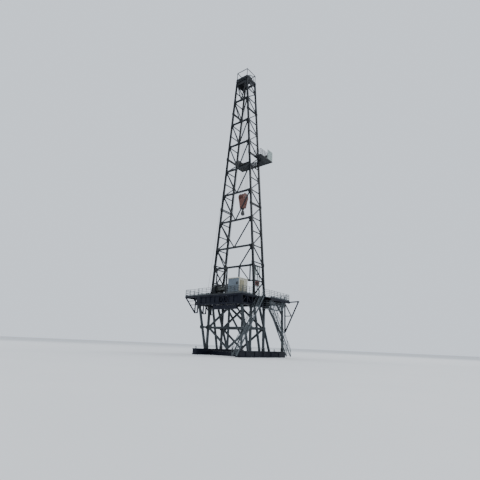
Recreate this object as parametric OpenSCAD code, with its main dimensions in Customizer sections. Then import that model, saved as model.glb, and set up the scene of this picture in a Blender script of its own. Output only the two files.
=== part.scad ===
// Land drilling rig with a cantilever mast on a high substructure.
// A model at one tenth of full size: 100 mm here stand for 1 m on the rig.
// X runs across the rig, Y from the drawworks side to the open front, Z up.
// The origin is on the ground, in the middle of the back legs' plane.

/* [Mast] */
// Width between the leg centres at the rig floor
mast_base_w = 896; // [880:2:910]
// Width between the leg centres at the top beam
mast_top_w = 258; // [250:2:270]
// Depth between the centres of the back legs and the front legs
mast_depth = 275; // [265:1:285]
// Height from the rig floor to the portal beam
portal_h = 486; // [470:2:500]
// Height of the short panel above the portal beam
short_panel_h = 339; // [330:1:350]
// Height of a panel with no splice in it
plain_panel_h = 494; // [480:2:506]
// Height of a panel that holds a splice
splice_panel_h = 530; // [516:2:544]
// Outer size of a leg's H section
leg_w = 30; // [26:1:34]
// Thickness of a leg's flanges and web
leg_t = 4; // [3:0.5:5]
// Depth of a beam across the back face
beam_w = 28; // [24:1:32]
// Width of the braces
brace_w = 16; // [12:1:18]
// Distance of a portal post from the mast's centre-line
portal_post_x = 130; // [120:1:140]

/* [Crown and travelling block] */
// Diameter of the rope's path round a sheave
sheave_pitch_d = 140; // [132:2:146]
// Number of sheaves in the travelling block
sheave_count = 5; // [4:1:6]
// Distance from sheave to sheave
sheave_gap = 18; // [16:1:19]
// Diameter of the drilling line
rope_d = 3.4; // [3:0.2:4]
// Height of the crown shaft above the mast's top
crown_rise = 121; // [118:1:126]
// Height of the travelling block's shaft above the ground
block_shaft_z = 2722; // [2600:2:2800]
// Height of the travelling block from its shaft to its foot
block_drop = 214; // [200:2:230]
// Height of the hook below the block
hook_h = 138; // [120:2:150]

/* [Rig floor] */
// Height of the rig floor above the ground
floor_h = 900; // [860:10:940]
// Width of the rig floor
floor_w = 940; // [930:2:950]
// Reach of the rig floor behind the back legs
floor_rear = 330; // [325:1:340]
// Reach of the rig floor in front of the back legs
floor_front = 885; // [870:1:900]
// Reach of the deep floor boxes in front of the back legs
box_front = 335; // [330:1:345]
// Depth of the floor boxes
floor_box_h = 152; // [144:2:160]
// Thickness of the floor plates
plate_t = 8; // [6:1:10]
// Distance of the well's centre from the back legs
well_y = 200; // [196:1:204]
// Diameter of the rotary table's bore
rotary_bore_d = 95; // [90:1:100]

/* [Substructure] */
// Height of the base boxes
base_h = 90; // [80:2:100]
// Width of the base boxes
base_w = 90; // [84:2:96]
// Width of the substructure's posts
post_w = 36; // [32:1:40]
// Width of the substructure's diagonals
strut_w = 28; // [22:1:30]

/* [Cabin] */
// Size of the cabin across the rig
cabin_w = 214; // [206:1:218]
// Size of the cabin along the rig
cabin_d = 216; // [208:1:218]
// Height of the cabin over its roof
cabin_h = 232; // [220:2:250]
// Thickness of the cabin's walls
cabin_wall = 8; // [6:1:10]

/* [Platforms and stairs] */
// Reach of the left platform beyond the floor
left_reach = 318; // [300:2:330]
// Width of the right platform
right_reach = 100; // [98:2:112]
// Height of the railings
rail_h = 110; // [100:2:120]
// Thickness of a railing's bars
rail_t = 5; // [4:0.5:6]
// Width of the stairs
stair_w = 80; // [72:2:84]
// Height from tread to tread
stair_rise = 22; // [20:1:24]
// Height of the racking board above the rig floor
board_h = 2550; // [2520:5:2570]

/* [Hidden] */

// Colours by eye
STEEL = "#262c33";
NAVY = "#1d2433";
GALV = "#8f9498";
RUST = "#6e4136";
DARK = "#1b1d20";
RED = "#8a3a34";
CABIN = "#7d8b98";
CREAM = "#c9c6b8";
PALE = "#9aa79f";

// Gap between two pieces that meet on a slanted face
seat = 0.3;

// Panels and levels of the mast
panels = concat([portal_h, short_panel_h],
                [for (k = [0:6]) k % 2 == 0 ? plain_panel_h : splice_panel_h]);
top_level = len(panels);
function level(k) = k == 0 ? floor_h : level(k - 1) + panels[k - 1];
function mid_level(k) = (level(k) + level(k + 1)) / 2;
lean = atan((mast_base_w - mast_top_w) / 2 / (level(top_level) - floor_h));
function half_w(z) = mast_base_w / 2 - (z - floor_h) * tan(lean);
function inner_x(z) = half_w(z) - (leg_w / 2 + seat) / cos(lean);
function along(z) = (z - floor_h) / cos(lean);

// Heights where the five mast sections begin and end
first_splice_z = level(1) + 44;
mast_top_z = level(top_level) + beam_w / 2;
cap_t = 8;
crown_plate_h = 84;
section_z = [floor_h, first_splice_z, mid_level(3), mid_level(5), mid_level(7), mast_top_z];
splice_half = 13;

// Floor, boxes and base
box_w = 80;
box_x = floor_w / 2 - box_w / 2;
plate_z = floor_h - plate_t;
box_z = plate_z - floor_box_h;
front_frame_h = 60;
base_x = box_x;
post_rear_y = -50;
post_front_y = 300;
front_post_y = floor_front - 25;
sheave_r = sheave_pitch_d / 2;
block_half_t = sheave_count * sheave_gap / 2 + 8;

// A straight bar in a flat drawing, from one point to another
module stick(p, q, w) {
    d = q - p;
    translate(p) rotate(atan2(d.y, d.x)) translate([0, -w / 2]) square([norm(d), w]);
}

// A flat drawing of Y and Z, made solid across X about x = 0
module across_x(t) {
    rotate([90, 0, 90]) translate([0, 0, -t / 2]) linear_extrude(t) children();
}

// A flat drawing of X and Z, made solid along Y about y = 0
module along_y(t) {
    rotate([90, 0, 0]) translate([0, 0, -t / 2]) linear_extrude(t) children();
}

// A block between two corners
module block(lo, hi) {
    translate(lo) cube(hi - lo);
}

// A round rod from one point to another
module rod(p, q, r) {
    d = q - p;
    translate(p) rotate([0, acos(d.z / norm(d)), atan2(d.y, d.x)]) cylinder(r = r, h = norm(d), $fn = 24);
}

// The right side truss's own frame: X outwards, Y along the rig, Z up the leg
module on_side() {
    translate([mast_base_w / 2, 0, floor_h]) rotate([0, -lean, 0]) children();
}

// H section of a mast leg, with its flanges facing across the rig
module leg_section() {
    for (s = [-1, 1]) translate([s * (leg_w - leg_t) / 2, 0]) square([leg_t, leg_w], center = true);
    square([leg_w, leg_t], center = true);
}

// Bars of one side panel, each as [y, z, y, z]
function side_bars(k) =
    let (z0 = level(k), z1 = level(k + 1), m = mid_level(k), d = mast_depth,
         foot = k == 0 ? 12 : 0,
         split = k >= 3 && k % 2 == 1 ? splice_half : 0)
    k == 1 ? [[0, z0, d, z0], [0, first_splice_z + splice_half, d, first_splice_z + splice_half],
              [0, z1, d, first_splice_z + splice_half]]
    : concat([[0, z0, d, z0], [0, z1, d, m + split], [0, m + split, d, m + split],
              [d, m - split, 0, z0 + foot]],
             split > 0 ? [[0, m - split, d, m - split]] : []);

all_side_bars = concat([for (k = [0:top_level - 1]) for (b = side_bars(k)) b],
                       [[0, level(top_level), mast_depth, level(top_level)]]);

// One section of the right side truss, numbered from 1 at the floor
module side_truss(s) {
    z0 = section_z[s - 1];
    z1 = section_z[s];
    bars = [for (b = all_side_bars)
        if ((b[1] + b[3]) / 2 > z0 + (s == 1 ? 1 : 0) && (b[1] + b[3]) / 2 < z1) b];
    color(STEEL) {
        on_side() {
            for (y = [0, mast_depth]) translate([0, y, along(z0) + (s == 1 ? 4 : 0)])
                linear_extrude(along(z1) - along(z0) - (s == 1 ? 4 : 0)) leg_section();
            across_x(brace_w - 2) for (b = bars)
                stick([b[0], along(b[1])], [b[2], along(b[3])], brace_w);
            if (s > 1) splice_lugs(along(z0), 1);
            if (s < 5) splice_lugs(along(z1), -1);
        }
        if (s == 1) for (y = [0, mast_depth]) mast_shoe(y);
        if (s == 5) {
            for (y = [0, mast_depth]) leg_cap(y);
            // Plate between the legs under the crown
            on_side() across_x(leg_t) translate([0, along(level(top_level) - crown_plate_h)])
                square([mast_depth, along(mast_top_z) - along(level(top_level) - crown_plate_h)]);
        }
    }
}

// End plates that meet at a splice, on the side that up names
module splice_lugs(v, up) {
    for (y = [0, mast_depth])
        translate([0, y, v + up * 4 + (up > 0 ? 0.15 : -0.15)])
            cube([leg_w + 12, leg_w + 12, 8], center = true);
}

// Foot of a mast leg on the rig floor
module mast_shoe(y) {
    x = mast_base_w / 2;
    edge = min(26, floor_w / 2 - x);
    block([x - edge, y - 26, floor_h], [x + edge, y + 26, floor_h + 8]);
    for (s = [-1, 1]) block([x - 18, y + s * 18 - 3, floor_h], [x + 18, y + s * 18 + 3, floor_h + 50]);
}

// Flat cap that the crown stands on
module leg_cap(y) {
    x = half_w(mast_top_z);
    block([x - 20, y - 20, mast_top_z - cap_t / 2], [x + 20, y + 20, mast_top_z + cap_t / 2]);
}

module mast_left(s) { mirror([1, 0, 0]) side_truss(s); }

module mast_left_1() { mast_left(1); }
module mast_left_2() { mast_left(2); }
module mast_left_3() { mast_left(3); }
module mast_left_4() { mast_left(4); }
module mast_left_5() { mast_left(5); }
module mast_right_1() { side_truss(1); }
module mast_right_2() { side_truss(2); }
module mast_right_3() { side_truss(3); }
module mast_right_4() { side_truss(4); }
module mast_right_5() { side_truss(5); }

// The space between the left and right legs, from one height to another
module between_legs(z0, z1) {
    polygon([[-inner_x(z0), z0], [inner_x(z0), z0], [inner_x(z1), z1], [-inner_x(z1), z1]]);
}

// Bracing of the back face: the beam of a level, and the V that stands on the beam below it
module back_beam(k) {
    stick([-half_w(level(k)), level(k)], [half_w(level(k)), level(k)], beam_w);
}

module back_v(k) {
    foot_x = k == 1 ? portal_post_x : 0;
    for (s = [-1, 1])
        stick([s * foot_x, level(k)], [s * half_w(level(k + 1)), level(k + 1)], brace_w);
}

// Plates that join the V, its beam and the leg at one level
module corner_plate(k) {
    x = half_w(level(k));
    for (s = [-1, 1])
        polygon([[s * x, level(k)], [s * (x - 70), level(k)],
                 [s * (x - 34), level(k) - 74], [s * x, level(k) - 110]]);
}

module back_bracing(n) {
    k = 2 * n - 3;
    z0 = level(k) + beam_w / 2;
    z1 = min(level(k + 2) + beam_w / 2, mast_top_z - cap_t / 2);
    color(STEEL) {
        along_y(beam_w) intersection() {
            for (i = [k + 1, k + 2]) back_beam(i);
            between_legs(z0, z1);
        }
        along_y(brace_w) intersection() {
            for (i = [k, k + 1]) back_v(i);
            between_legs(z0, z1);
        }
        along_y(leg_t) intersection() {
            union() {
                for (i = [k + 1, k + 2]) corner_plate(i);
                if (k + 2 >= top_level)
                    translate([-mast_top_w, level(top_level) - crown_plate_h])
                        square([2 * mast_top_w, crown_plate_h]);
            }
            between_legs(z0, z1);
        }
    }
}

// Portal below the first beam, open for the drawworks
stub_z = floor_h + 235;
stub_x = 355;
module back_bracing_1() {
    z1 = level(1) + beam_w / 2;
    color(STEEL) {
        along_y(beam_w) intersection() {
            union() {
                back_beam(1);
                for (s = [-1, 1])
                    stick([s * (stub_x - 30), stub_z], [s * half_w(stub_z), stub_z], brace_w);
            }
            between_legs(floor_h, z1);
        }
        along_y(brace_w) intersection() {
            for (s = [-1, 1]) {
                stick([s * portal_post_x, floor_h], [s * portal_post_x, level(1)], brace_w + 4);
                stick([s * portal_post_x, level(1)], [s * (stub_x - 10), stub_z], brace_w - 4);
                stick([s * stub_x, stub_z], [s * stub_x, level(1)], brace_w);
            }
            between_legs(floor_h, z1);
        }
    }
}
module back_bracing_2() { back_bracing(2); }
module back_bracing_3() { back_bracing(3); }
module back_bracing_4() { back_bracing(4); }
module back_bracing_5() { back_bracing(5); }

// Crown
crown_z = mast_top_z + cap_t / 2;
crown_shaft_z = crown_z + crown_rise;
crown_beam_h = 46;
crown_deck_t = 6;
crown_beam_w = 20;
crown_x = half_w(mast_top_z);
bearing_x = block_half_t + sheave_gap + 12;
deadline_x = crown_x + 40;
front_beam_y = well_y + sheave_r + rope_d + 14;

module crown_frame() {
    top = crown_z + crown_beam_h;
    color(STEEL) {
        for (s = [-1, 1]) {
            translate([s * crown_x, 0, 0])
                block([-crown_beam_w / 2, -20, crown_z], [crown_beam_w / 2, front_beam_y + 12, top]);
            translate([s * bearing_x, 0, 0]) {
                block([-6, -10, crown_z], [6, front_beam_y, top]);
                translate([0, well_y, 0]) across_x(12) difference() {
                    polygon([[-60, top - 2], [60, top - 2],
                             [24, crown_shaft_z + 26], [-24, crown_shaft_z + 26]]);
                    translate([0, crown_shaft_z]) circle(r = 9, $fn = 32);
                }
            }
            // Guard frames at the two sides
            translate([s * crown_x, 0, 0]) across_x(8) {
                stick([0, top - 2], [0, crown_shaft_z + 100], 12);
                stick([front_beam_y - 10, top - 2], [front_beam_y - 10, crown_shaft_z + 100], 12);
                stick([-6, crown_shaft_z + 100], [front_beam_y - 4, crown_shaft_z + 100], 12);
                stick([0, top + 6], [front_beam_y - 10, crown_shaft_z + 94], 8);
            }
        }
        for (y = [-10, front_beam_y])
            block([-crown_x, y - 10, crown_z], [crown_x, y + 10, top]);
        // Deck plates beside and behind the sheaves
        for (s = [-1, 1])
            translate([s * (crown_x + bearing_x) / 2, front_beam_y / 2, crown_z + crown_deck_t / 2])
                cube([crown_x - bearing_x, front_beam_y, crown_deck_t], center = true);
        block([-bearing_x, -4, crown_z], [bearing_x, well_y - sheave_r - 60, crown_z + crown_deck_t]);
        for (y = [0, front_beam_y - 10])
            block([-crown_x, y - 5, crown_shaft_z + 94], [crown_x, y + 5, crown_shaft_z + 106]);
        // Bracket of the deadline sheave
        translate([-crown_x - 22, 0, 0]) {
            block([-4, well_y - 60, crown_z], [20, well_y - 20, top]);
            translate([0, well_y - 40, 0]) across_x(8) difference() {
                polygon([[-20, crown_z], [20, crown_z], [14, crown_shaft_z + 14], [-14, crown_shaft_z + 14]]);
                translate([0, crown_shaft_z]) circle(r = 6, $fn = 32);
            }
        }
    }
}

// Half outline of a grooved sheave, for turning about its axis
module sheave_profile(r, bore, play) {
    rim = r + 5;
    w = 11;
    polygon([[bore, -w / 2], [bore + 8, -w / 2], [bore + 10, -3], [r - 14, -3], [r - 9, -w / 2],
        [rim, -w / 2], [rim, -rope_d / 2 - play - 0.5], [r - rope_d / 2 - 0.4, -rope_d / 2 - play],
        [r - rope_d / 2 - 0.4, rope_d / 2 + play], [rim, rope_d / 2 + play + 0.5], [rim, w / 2],
        [r - 9, w / 2], [r - 14, 3], [bore + 10, 3], [bore + 8, w / 2], [bore, w / 2]]);
}

module sheave(x, r, bore, play = 0.3) {
    translate([x, 0, 0]) rotate([0, 90, 0]) rotate_extrude($fn = 64) sheave_profile(r, bore, play);
}

function sheave_x(i) = (i - (sheave_count - 1) / 2) * sheave_gap;
small_sheave_r = 34;

module crown_sheaves() {
    color(DARK) {
        translate([0, well_y, crown_shaft_z]) {
            for (i = [0:sheave_count]) sheave(sheave_x(i), sheave_r, 8, i == sheave_count ? 1.2 : 0.3);
            rotate([0, 90, 0]) translate([0, 0, -bearing_x - 12])
                cylinder(r = 8.7, h = 2 * bearing_x + 24, $fn = 32);
        }
        translate([0, well_y - 40, crown_shaft_z]) {
            sheave(-deadline_x, small_sheave_r, 5, 2.2);
            rotate([0, -90, 0]) translate([0, 0, crown_x + 12]) cylinder(r = 5.7, h = 38, $fn = 32);
        }
    }
}

// Drilling line between the crown and the travelling block
module drilling_lines() {
    color(GALV) for (i = [0:sheave_count - 1]) for (s = [-1, 1])
        translate([sheave_x(i), well_y + s * sheave_r, block_shaft_z])
            cylinder(r = rope_d / 2, h = crown_shaft_z - block_shaft_z, $fn = 16);
}

// Outline of the travelling block seen from the side, with its shaft at the origin
block_r = sheave_r + 10;
foot_half = 24;
module block_outline() {
    circle(r = block_r, $fn = 64);
    a = 28;
    polygon([[-block_r * cos(a), -block_r * sin(a)], [-foot_half, -block_drop],
        [foot_half, -block_drop], [block_r * cos(a), -block_r * sin(a)]]);
}

module travelling_block() {
    cheek_t = 6;
    color(RUST) translate([0, well_y, block_shaft_z]) {
        for (s = [-1, 1])
            translate([s * (block_half_t - cheek_t / 2), 0, 0]) across_x(cheek_t) block_outline();
        for (i = [0:sheave_count - 1]) sheave(sheave_x(i), sheave_r, 6);
        rotate([0, 90, 0]) translate([0, 0, -block_half_t - 8])
            cylinder(r = 14, h = 2 * block_half_t + 16, $fn = 32);
        block([-block_half_t + 2, -foot_half, -block_drop], [block_half_t - 2, foot_half, -block_drop + 50]);
        block([-block_half_t + 2, -40, -block_drop + 62], [block_half_t - 2, 40, -block_drop + 90]);
    }
}

// Hook under the block
module hook() {
    top = block_shaft_z - block_drop - seat;
    color(DARK) translate([0, well_y, top]) {
        translate([0, 0, -28]) cylinder(r = 20, h = 28, $fn = 32);
        translate([0, 0, -50]) cylinder(r = 12, h = 24, $fn = 32);
        translate([0, 0, 0]) across_x(30) difference() {
            union() {
                translate([0, -hook_h + 38]) circle(r = 38, $fn = 48);
                polygon([[-20, -44], [20, -44], [38, -hook_h + 44], [-38, -hook_h + 38]]);
            }
            translate([0, -hook_h + 42]) circle(r = 16, $fn = 32);
            polygon([[8, -hook_h + 52], [50, -hook_h + 58], [50, -hook_h + 74], [10, -hook_h + 56]]);
        }
    }
}

// Deadline from the crown to its anchor on the left platform
anchor_x = -floor_w / 2 - 75;
anchor_y = 20;
anchor_z = floor_h + 62;
anchor_r = 20;
module deadline() {
    color(GALV) rod([-deadline_x, well_y - 40 - small_sheave_r, crown_shaft_z],
                    [anchor_x, anchor_y - anchor_r - rope_d / 2 - seat, anchor_z], rope_d / 2);
}

// Fast line from the crown's outer sheave through the mast's back to the drum
module fast_line() {
    color(GALV) rod([sheave_x(sheave_count), well_y - sheave_r, crown_shaft_z],
                    [-20, draw_y + drum_r + rope_d / 2 + seat, draw_z], rope_d / 2);
}

module deadline_anchor() {
    color(STEEL) {
        block([anchor_x - 30, anchor_y - 34, floor_h], [anchor_x + 30, anchor_y + 34, floor_h + 8]);
        for (s = [-1, 1]) translate([anchor_x + s * 22, anchor_y, floor_h]) across_x(6)
            polygon([[-24, 0], [24, 0], [12, anchor_z - floor_h + 12], [-12, anchor_z - floor_h + 12]]);
        translate([anchor_x - 25, anchor_y, anchor_z]) rotate([0, 90, 0])
            cylinder(r = anchor_r, h = 50, $fn = 32);
    }
}

// Racking board at the monkey-board level, open towards the well
board_z = floor_h + board_h;
board_edge = 16;
board_top = board_z + board_edge;
board_x0 = -half_w(board_z) - board_edge / 2;
board_inner = half_w(board_z) - board_edge / 2;
board_x1 = half_w(board_z) + 190;
board_y0 = mast_depth + leg_w / 2;
board_y1 = 482;
side_board_y0 = 92;
board_side_x = half_w(board_z) + leg_w / 2 + 10;
diving_half = 24;
finger_count = 5;
finger_t = 16;
hatch_r = 30;
front_gap_x0 = -100;
front_gap_x1 = 130;
wall_h = 190;
finger_pitch = (board_y1 - board_y0 - board_edge) / finger_count;
module racking_board() {
    color(STEEL) {
        // Side beams on the front legs, the front beam, and the diving board between the fingers
        for (s = [-1, 1]) translate([s * (board_inner + board_edge / 2), 0, 0])
            block([-board_edge / 2, board_y0, board_z], [board_edge / 2, board_y1, board_top]);
        // Plates on the legs' flanges
        for (s = [-1, 1]) translate([s * half_w(board_z), board_y0 + 3, board_z - 4])
            cube([leg_w + 8, 6, 40], center = true);
        block([board_x0, board_y1 - board_edge, board_z], [board_x1, board_y1, board_top]);
        block([-diving_half, board_y0 + 6, board_z + 6], [diving_half, board_y1, board_top]);
        // Walkway beside the right legs
        difference() {
            union() {
                block([board_inner + 2, board_y0 + 20, board_z + 6], [board_x1, board_y1, board_top]);
                block([board_side_x, side_board_y0, board_z + 6], [board_x1, board_y1, board_top]);
                for (x = [board_side_x, board_x1 - board_edge])
                    block([x, side_board_y0, board_z], [x + board_edge, board_y1, board_top]);
            }
            // Hatch round the ladder
            block([board_side_x - 1, ladder_y - hatch_r - 6, board_z - 1],
                  [board_side_x + 2 * hatch_r + 12, board_y0 - 0.5, board_top + 1]);
        }
        // Rails
        translate([board_x1 - 3, 0, board_top]) across_x(rail_t)
            railing(side_board_y0, board_y1 - 172, 4);
        translate([0, side_board_y0 + 3, board_top]) along_y(rail_t)
            railing(board_side_x, board_x1, 2);
        translate([0, board_y1 - 4, board_top]) along_y(rail_t)
            railing(front_gap_x0 + seat, front_gap_x1 - seat, 3);
    }
}

// Fingers that hold the stands of pipe, pointing at the diving board from both sides
module board_fingers() {
    color(STEEL) for (s = [-1, 1]) for (k = [0:finger_count - 1])
        translate([s * (board_inner + diving_half + 14) / 2,
                   board_y0 + (k + 0.5) * finger_pitch, board_z + 8])
            cube([board_inner - diving_half - 14, finger_t, 10], center = true);
}

// Sheets that keep the wind off the derrickman: a pale one round the right front corner, and
// lower dark ones along the front, with a gap at the diving board, and down the left side
sheet_t = 4;
module windwall() {
    z0 = board_top;
    pale_z = z0 + wall_h + 10;
    pale_x0 = board_x1 - 120;
    color(PALE) {
        block([board_x1 - 4 - sheet_t, board_y1 - 166, z0], [board_x1 - 4, board_y1 - sheet_t, pale_z]);
        block([pale_x0, board_y1 - sheet_t, z0], [board_x1 - 4, board_y1, pale_z]);
    }
    color(STEEL) {
        block([board_x0, board_y0 + 8, z0], [board_x0 + sheet_t, board_y1 - 2, z0 + wall_h]);
        block([board_x0, board_y1 - sheet_t, z0], [front_gap_x0, board_y1, z0 + wall_h]);
        block([front_gap_x1, board_y1 - sheet_t, z0], [pale_x0 - seat, board_y1, z0 + wall_h]);
    }
}

// Ladder outside the right front leg
ladder_w = 46;
ladder_y = mast_depth - 25;
ladder_out = leg_w / 2 + 10;
ladder_t = 4;
ladder_top = along(level(8));
module on_ladder() {
    on_side() translate([ladder_out, ladder_y, 0]) children();
}
module mast_ladder() {
    color(GALV) on_ladder() {
        across_x(ladder_t) difference() {
            translate([-ladder_w / 2, 10]) square([ladder_w, ladder_top - 10]);
            for (v = [14 : 30 : ladder_top - 30])
                translate([-ladder_w / 2 + 5, v]) square([ladder_w - 10, 27]);
        }
        // Brackets to the leg
        for (v = [90 : 450 : ladder_top - 40]) {
            translate([seat - 10, -ladder_w / 2, v]) cube([4, ladder_w + 16, 6]);
            for (s = [-1, 1]) translate([seat - 8, s * (ladder_w / 2 - 3) - 3, v]) cube([9, 6, 6]);
        }
    }
}

// A railing as a flat drawing: posts and four rails from a to b, standing on 0
module railing(a, b, bays) {
    for (i = [0:bays]) translate([a + (b - a - rail_t) * i / bays, 0]) square([rail_t, rail_h]);
    for (k = [1:4]) translate([a, rail_h * k / 4 - rail_t]) square([b - a, rail_t]);
}

// Substructure
module base_box(s) {
    color(NAVY) difference() {
        block([s * base_x - base_w / 2, -floor_rear, 0], [s * base_x + base_w / 2, floor_front, base_h]);
        for (y = [-floor_rear + 60 : 220 : floor_front - 120])
            translate([s * (base_x + base_w / 2), y, base_h / 2]) cube([16, 150, base_h - 30], center = true);
    }
}
module base_box_left() { base_box(-1); }
module base_box_right() { base_box(1); }

spreader_x = base_x - base_w / 2 - seat;
spreader_h = 60;
module base_spreaders() {
    color(NAVY) for (y = [0, floor_front - 255])
        block([-spreader_x, y - 30, 0], [spreader_x, y + 30, spreader_h]);
}

// Legs and diagonals of one side, between the base box and the floor box
frame_t = 28;
mid_z = (base_h + box_z) / 2;
rake_head = [34 - floor_rear, box_z + 20];
rake_foot = [post_rear_y - 36, base_h - 20];
rake_mid_y = rake_head.x + (rake_foot.x - rake_head.x) * (mid_z - rake_head.y) / (rake_foot.y - rake_head.y);
module side_frame(s) {
    h_lo = base_h;
    color(STEEL) translate([s * box_x, 0, 0]) {
        across_x(frame_t) intersection() {
            union() {
                stick([post_rear_y, h_lo - 20], [post_rear_y, box_z + 20], post_w);
                stick([post_front_y, h_lo - 20], [post_front_y, box_z + 20], post_w);
                stick([post_rear_y + 82, box_z + 20], [post_front_y - 96, h_lo - 20], strut_w);
                stick([post_front_y - 136, box_z + 20], [post_front_y + 174, h_lo - 20], strut_w);
                stick(rake_head, rake_foot, post_w - 4);
                stick([rake_mid_y, mid_z], [post_front_y, mid_z], strut_w);
            }
            translate([-floor_rear, h_lo]) square([floor_front, box_z - h_lo]);
        }
    }
}
module side_frame_left() { side_frame(-1); }
module side_frame_right() { side_frame(1); }

// Crossed bars between the two sides
cross_x = box_x - frame_t / 2 - seat;
module cross_frame(y, z0, z1) {
    color(STEEL) translate([0, y, 0]) along_y(frame_t - 4) intersection() {
        union() {
            stick([-cross_x, mid_z], [cross_x, mid_z], strut_w);
            stick([0, z0], [0, z1], strut_w);
            for (s = [-1, 1]) {
                stick([s * cross_x, mid_z], [0, z0 + 8], strut_w);
                stick([s * cross_x, mid_z], [0, z1 - 8], strut_w);
            }
        }
        translate([-cross_x, z0]) square([2 * cross_x, z1 - z0]);
    }
}
module rear_cross_frame() { cross_frame(post_rear_y, base_h + 10, box_z); }
module front_cross_frame() { cross_frame(post_front_y + 2, base_h + 10, box_z); }

// Deep lattice boxes under the two sides of the floor
chord_h = 28;
module floor_box(s) {
    n = 5;
    step = (box_front + floor_rear - 20) / n;
    color(NAVY) translate([s * box_x, 0, 0]) {
        across_x(box_w) {
            translate([-floor_rear, box_z]) square([box_front + floor_rear, chord_h]);
            translate([-floor_rear, plate_z - chord_h]) square([box_front + floor_rear, chord_h]);
        }
        across_x(box_w - 8) for (i = [0:n])
            translate([-floor_rear + i * step, box_z]) square([20, floor_box_h]);
        across_x(box_w - 30) for (i = [0:n - 1])
            stick([-floor_rear + 10 + (i + i % 2) * step, box_z + chord_h / 2],
                  [-floor_rear + 10 + (i + 1 - i % 2) * step, plate_z - chord_h / 2], 16);
    }
}
module floor_box_left() { floor_box(-1); }
module floor_box_right() { floor_box(1); }

// Rear truss with its plated bays, and the beam below it
rear_x = floor_w / 2 - box_w - seat;
module rear_floor_truss() {
    n = 8;
    step = 2 * rear_x / n;
    color(NAVY) translate([0, -floor_rear + 20, 0]) {
        along_y(36) {
            translate([-rear_x, box_z]) square([2 * rear_x, chord_h]);
            translate([-rear_x, plate_z - chord_h]) square([2 * rear_x, chord_h]);
        }
        along_y(26) for (i = [0:n])
            translate([-rear_x + i * (step - 14 / n), box_z]) square([14, floor_box_h]);
        along_y(6) for (i = [0, 1, 2, 3, 6, 7])
            translate([-rear_x + i * step, box_z + 4]) square([step, floor_box_h - 8]);
        along_y(14) for (i = [4, 5]) {
            stick([-rear_x + i * step, box_z + 10], [-rear_x + (i + 1) * step, plate_z - 10], 10);
            stick([-rear_x + i * step, plate_z - 10], [-rear_x + (i + 1) * step, box_z + 10], 10);
        }
        // The lower beam hangs on two short posts
        translate([132, -6, 0]) along_y(30) translate([-232, box_z - 74]) square([464, 56]);
        for (x = [-80, 130, 340]) block([x - 12, -16, box_z - 20], [x + 12, 4, box_z + 2]);
    }
}

// Beams across the floor under the mast's legs, and the two that carry the rotary table
rotary_w = 190;
rotary_l = 190;
rotary_h = 44;
rotary_top = floor_h + 16;
module floor_cross_beams() {
    color(NAVY) {
        for (y = [0, box_front - 18])
            block([-rear_x, y - 18, box_z + 30], [rear_x, y + 18, plate_z]);
        for (s = [-1, 1]) block([s * (rotary_w / 2 - 14) - 14, 10, rotary_top - rotary_h - 60],
                                [s * (rotary_w / 2 - 14) + 14, box_front - 10, rotary_top - rotary_h]);
    }
}

// Shallow frame of the front half of the floor
module front_floor_frame() {
    z0 = plate_z - front_frame_h;
    y0 = box_front + seat;
    color(NAVY) {
        for (s = [-1, 1]) translate([s * (floor_w / 2 - 20), 0, 0])
            block([-20, y0, z0], [20, floor_front, plate_z]);
        for (x = [-150, 150]) block([x - 10, y0, z0], [x + 10, floor_front, plate_z]);
        for (y = [y0, (y0 + floor_front) / 2, floor_front - 24])
            block([-floor_w / 2 + 20, y, z0 + 6], [floor_w / 2 - 20, y + 24, plate_z]);
    }
}

// Front posts down to the base boxes, with their struts
module front_posts() {
    z1 = plate_z - front_frame_h;
    color(STEEL) for (s = [-1, 1]) translate([s * box_x, 0, 0]) across_x(frame_t) intersection() {
        union() {
            stick([front_post_y, base_h - 10], [front_post_y, z1 + 10], strut_w + 4);
            stick([front_post_y, z1 - 160], [front_post_y - 200, z1 + 10], strut_w - 10);
            stick([front_post_y, mid_z - 94], [box_front + 10, z1 + 10], strut_w - 4);
        }
        translate([0, base_h]) square([floor_front, z1 - base_h]);
    }
}

// Floor plates, with a gap for the rotary table
table_gap = 1;
module floor_plates() {
    x1 = floor_w / 2;
    tx = rotary_w / 2 + table_gap;
    y0 = well_y - rotary_l / 2 - table_gap;
    y1 = well_y + rotary_l / 2 + table_gap;
    color(STEEL) {
        block([-x1, -floor_rear, plate_z], [x1, y0, floor_h]);
        block([-x1, y1 + seat, plate_z], [x1, floor_front, floor_h]);
        for (s = [-1, 1]) translate([s * (x1 + tx) / 2, (y0 + y1 + seat) / 2, plate_z + plate_t / 2])
            cube([x1 - tx, y1 - y0 - seat, plate_t], center = true);
    }
}

module rotary_table() {
    color(DARK) translate([0, well_y, rotary_top - rotary_h]) difference() {
        union() {
            translate([-rotary_w / 2, -rotary_l / 2, 0]) cube([rotary_w, rotary_l, rotary_h - 6]);
            translate([0, 0, rotary_h - 7]) cylinder(r = rotary_w / 2 - 12, h = 7, $fn = 64);
        }
        translate([0, 0, -1]) cylinder(d = rotary_bore_d, h = rotary_h + 2, $fn = 64);
    }
}

// Drawworks behind the mast
draw_x0 = -175;
draw_x1 = 145;
draw_y = -210;
draw_z = floor_h + 88;
drum_r = 38;
module drawworks_frame() {
    color(STEEL) {
        block([draw_x0, draw_y - 90, floor_h], [draw_x1, draw_y + 90, floor_h + 14]);
        for (x = [draw_x0, draw_x1 - 60]) difference() {
            translate([x + 30, draw_y, floor_h]) across_x(60)
                polygon([[-84, 12], [84, 12], [84, 120], [50, 160], [-50, 160], [-84, 120]]);
            translate([x - 1, draw_y, draw_z]) rotate([0, 90, 0]) cylinder(r = 10, h = 62, $fn = 32);
        }
        block([draw_x0 + 20, draw_y - 60, floor_h + 130], [draw_x1 - 20, draw_y - 40, floor_h + 150]);
    }
}

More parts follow.
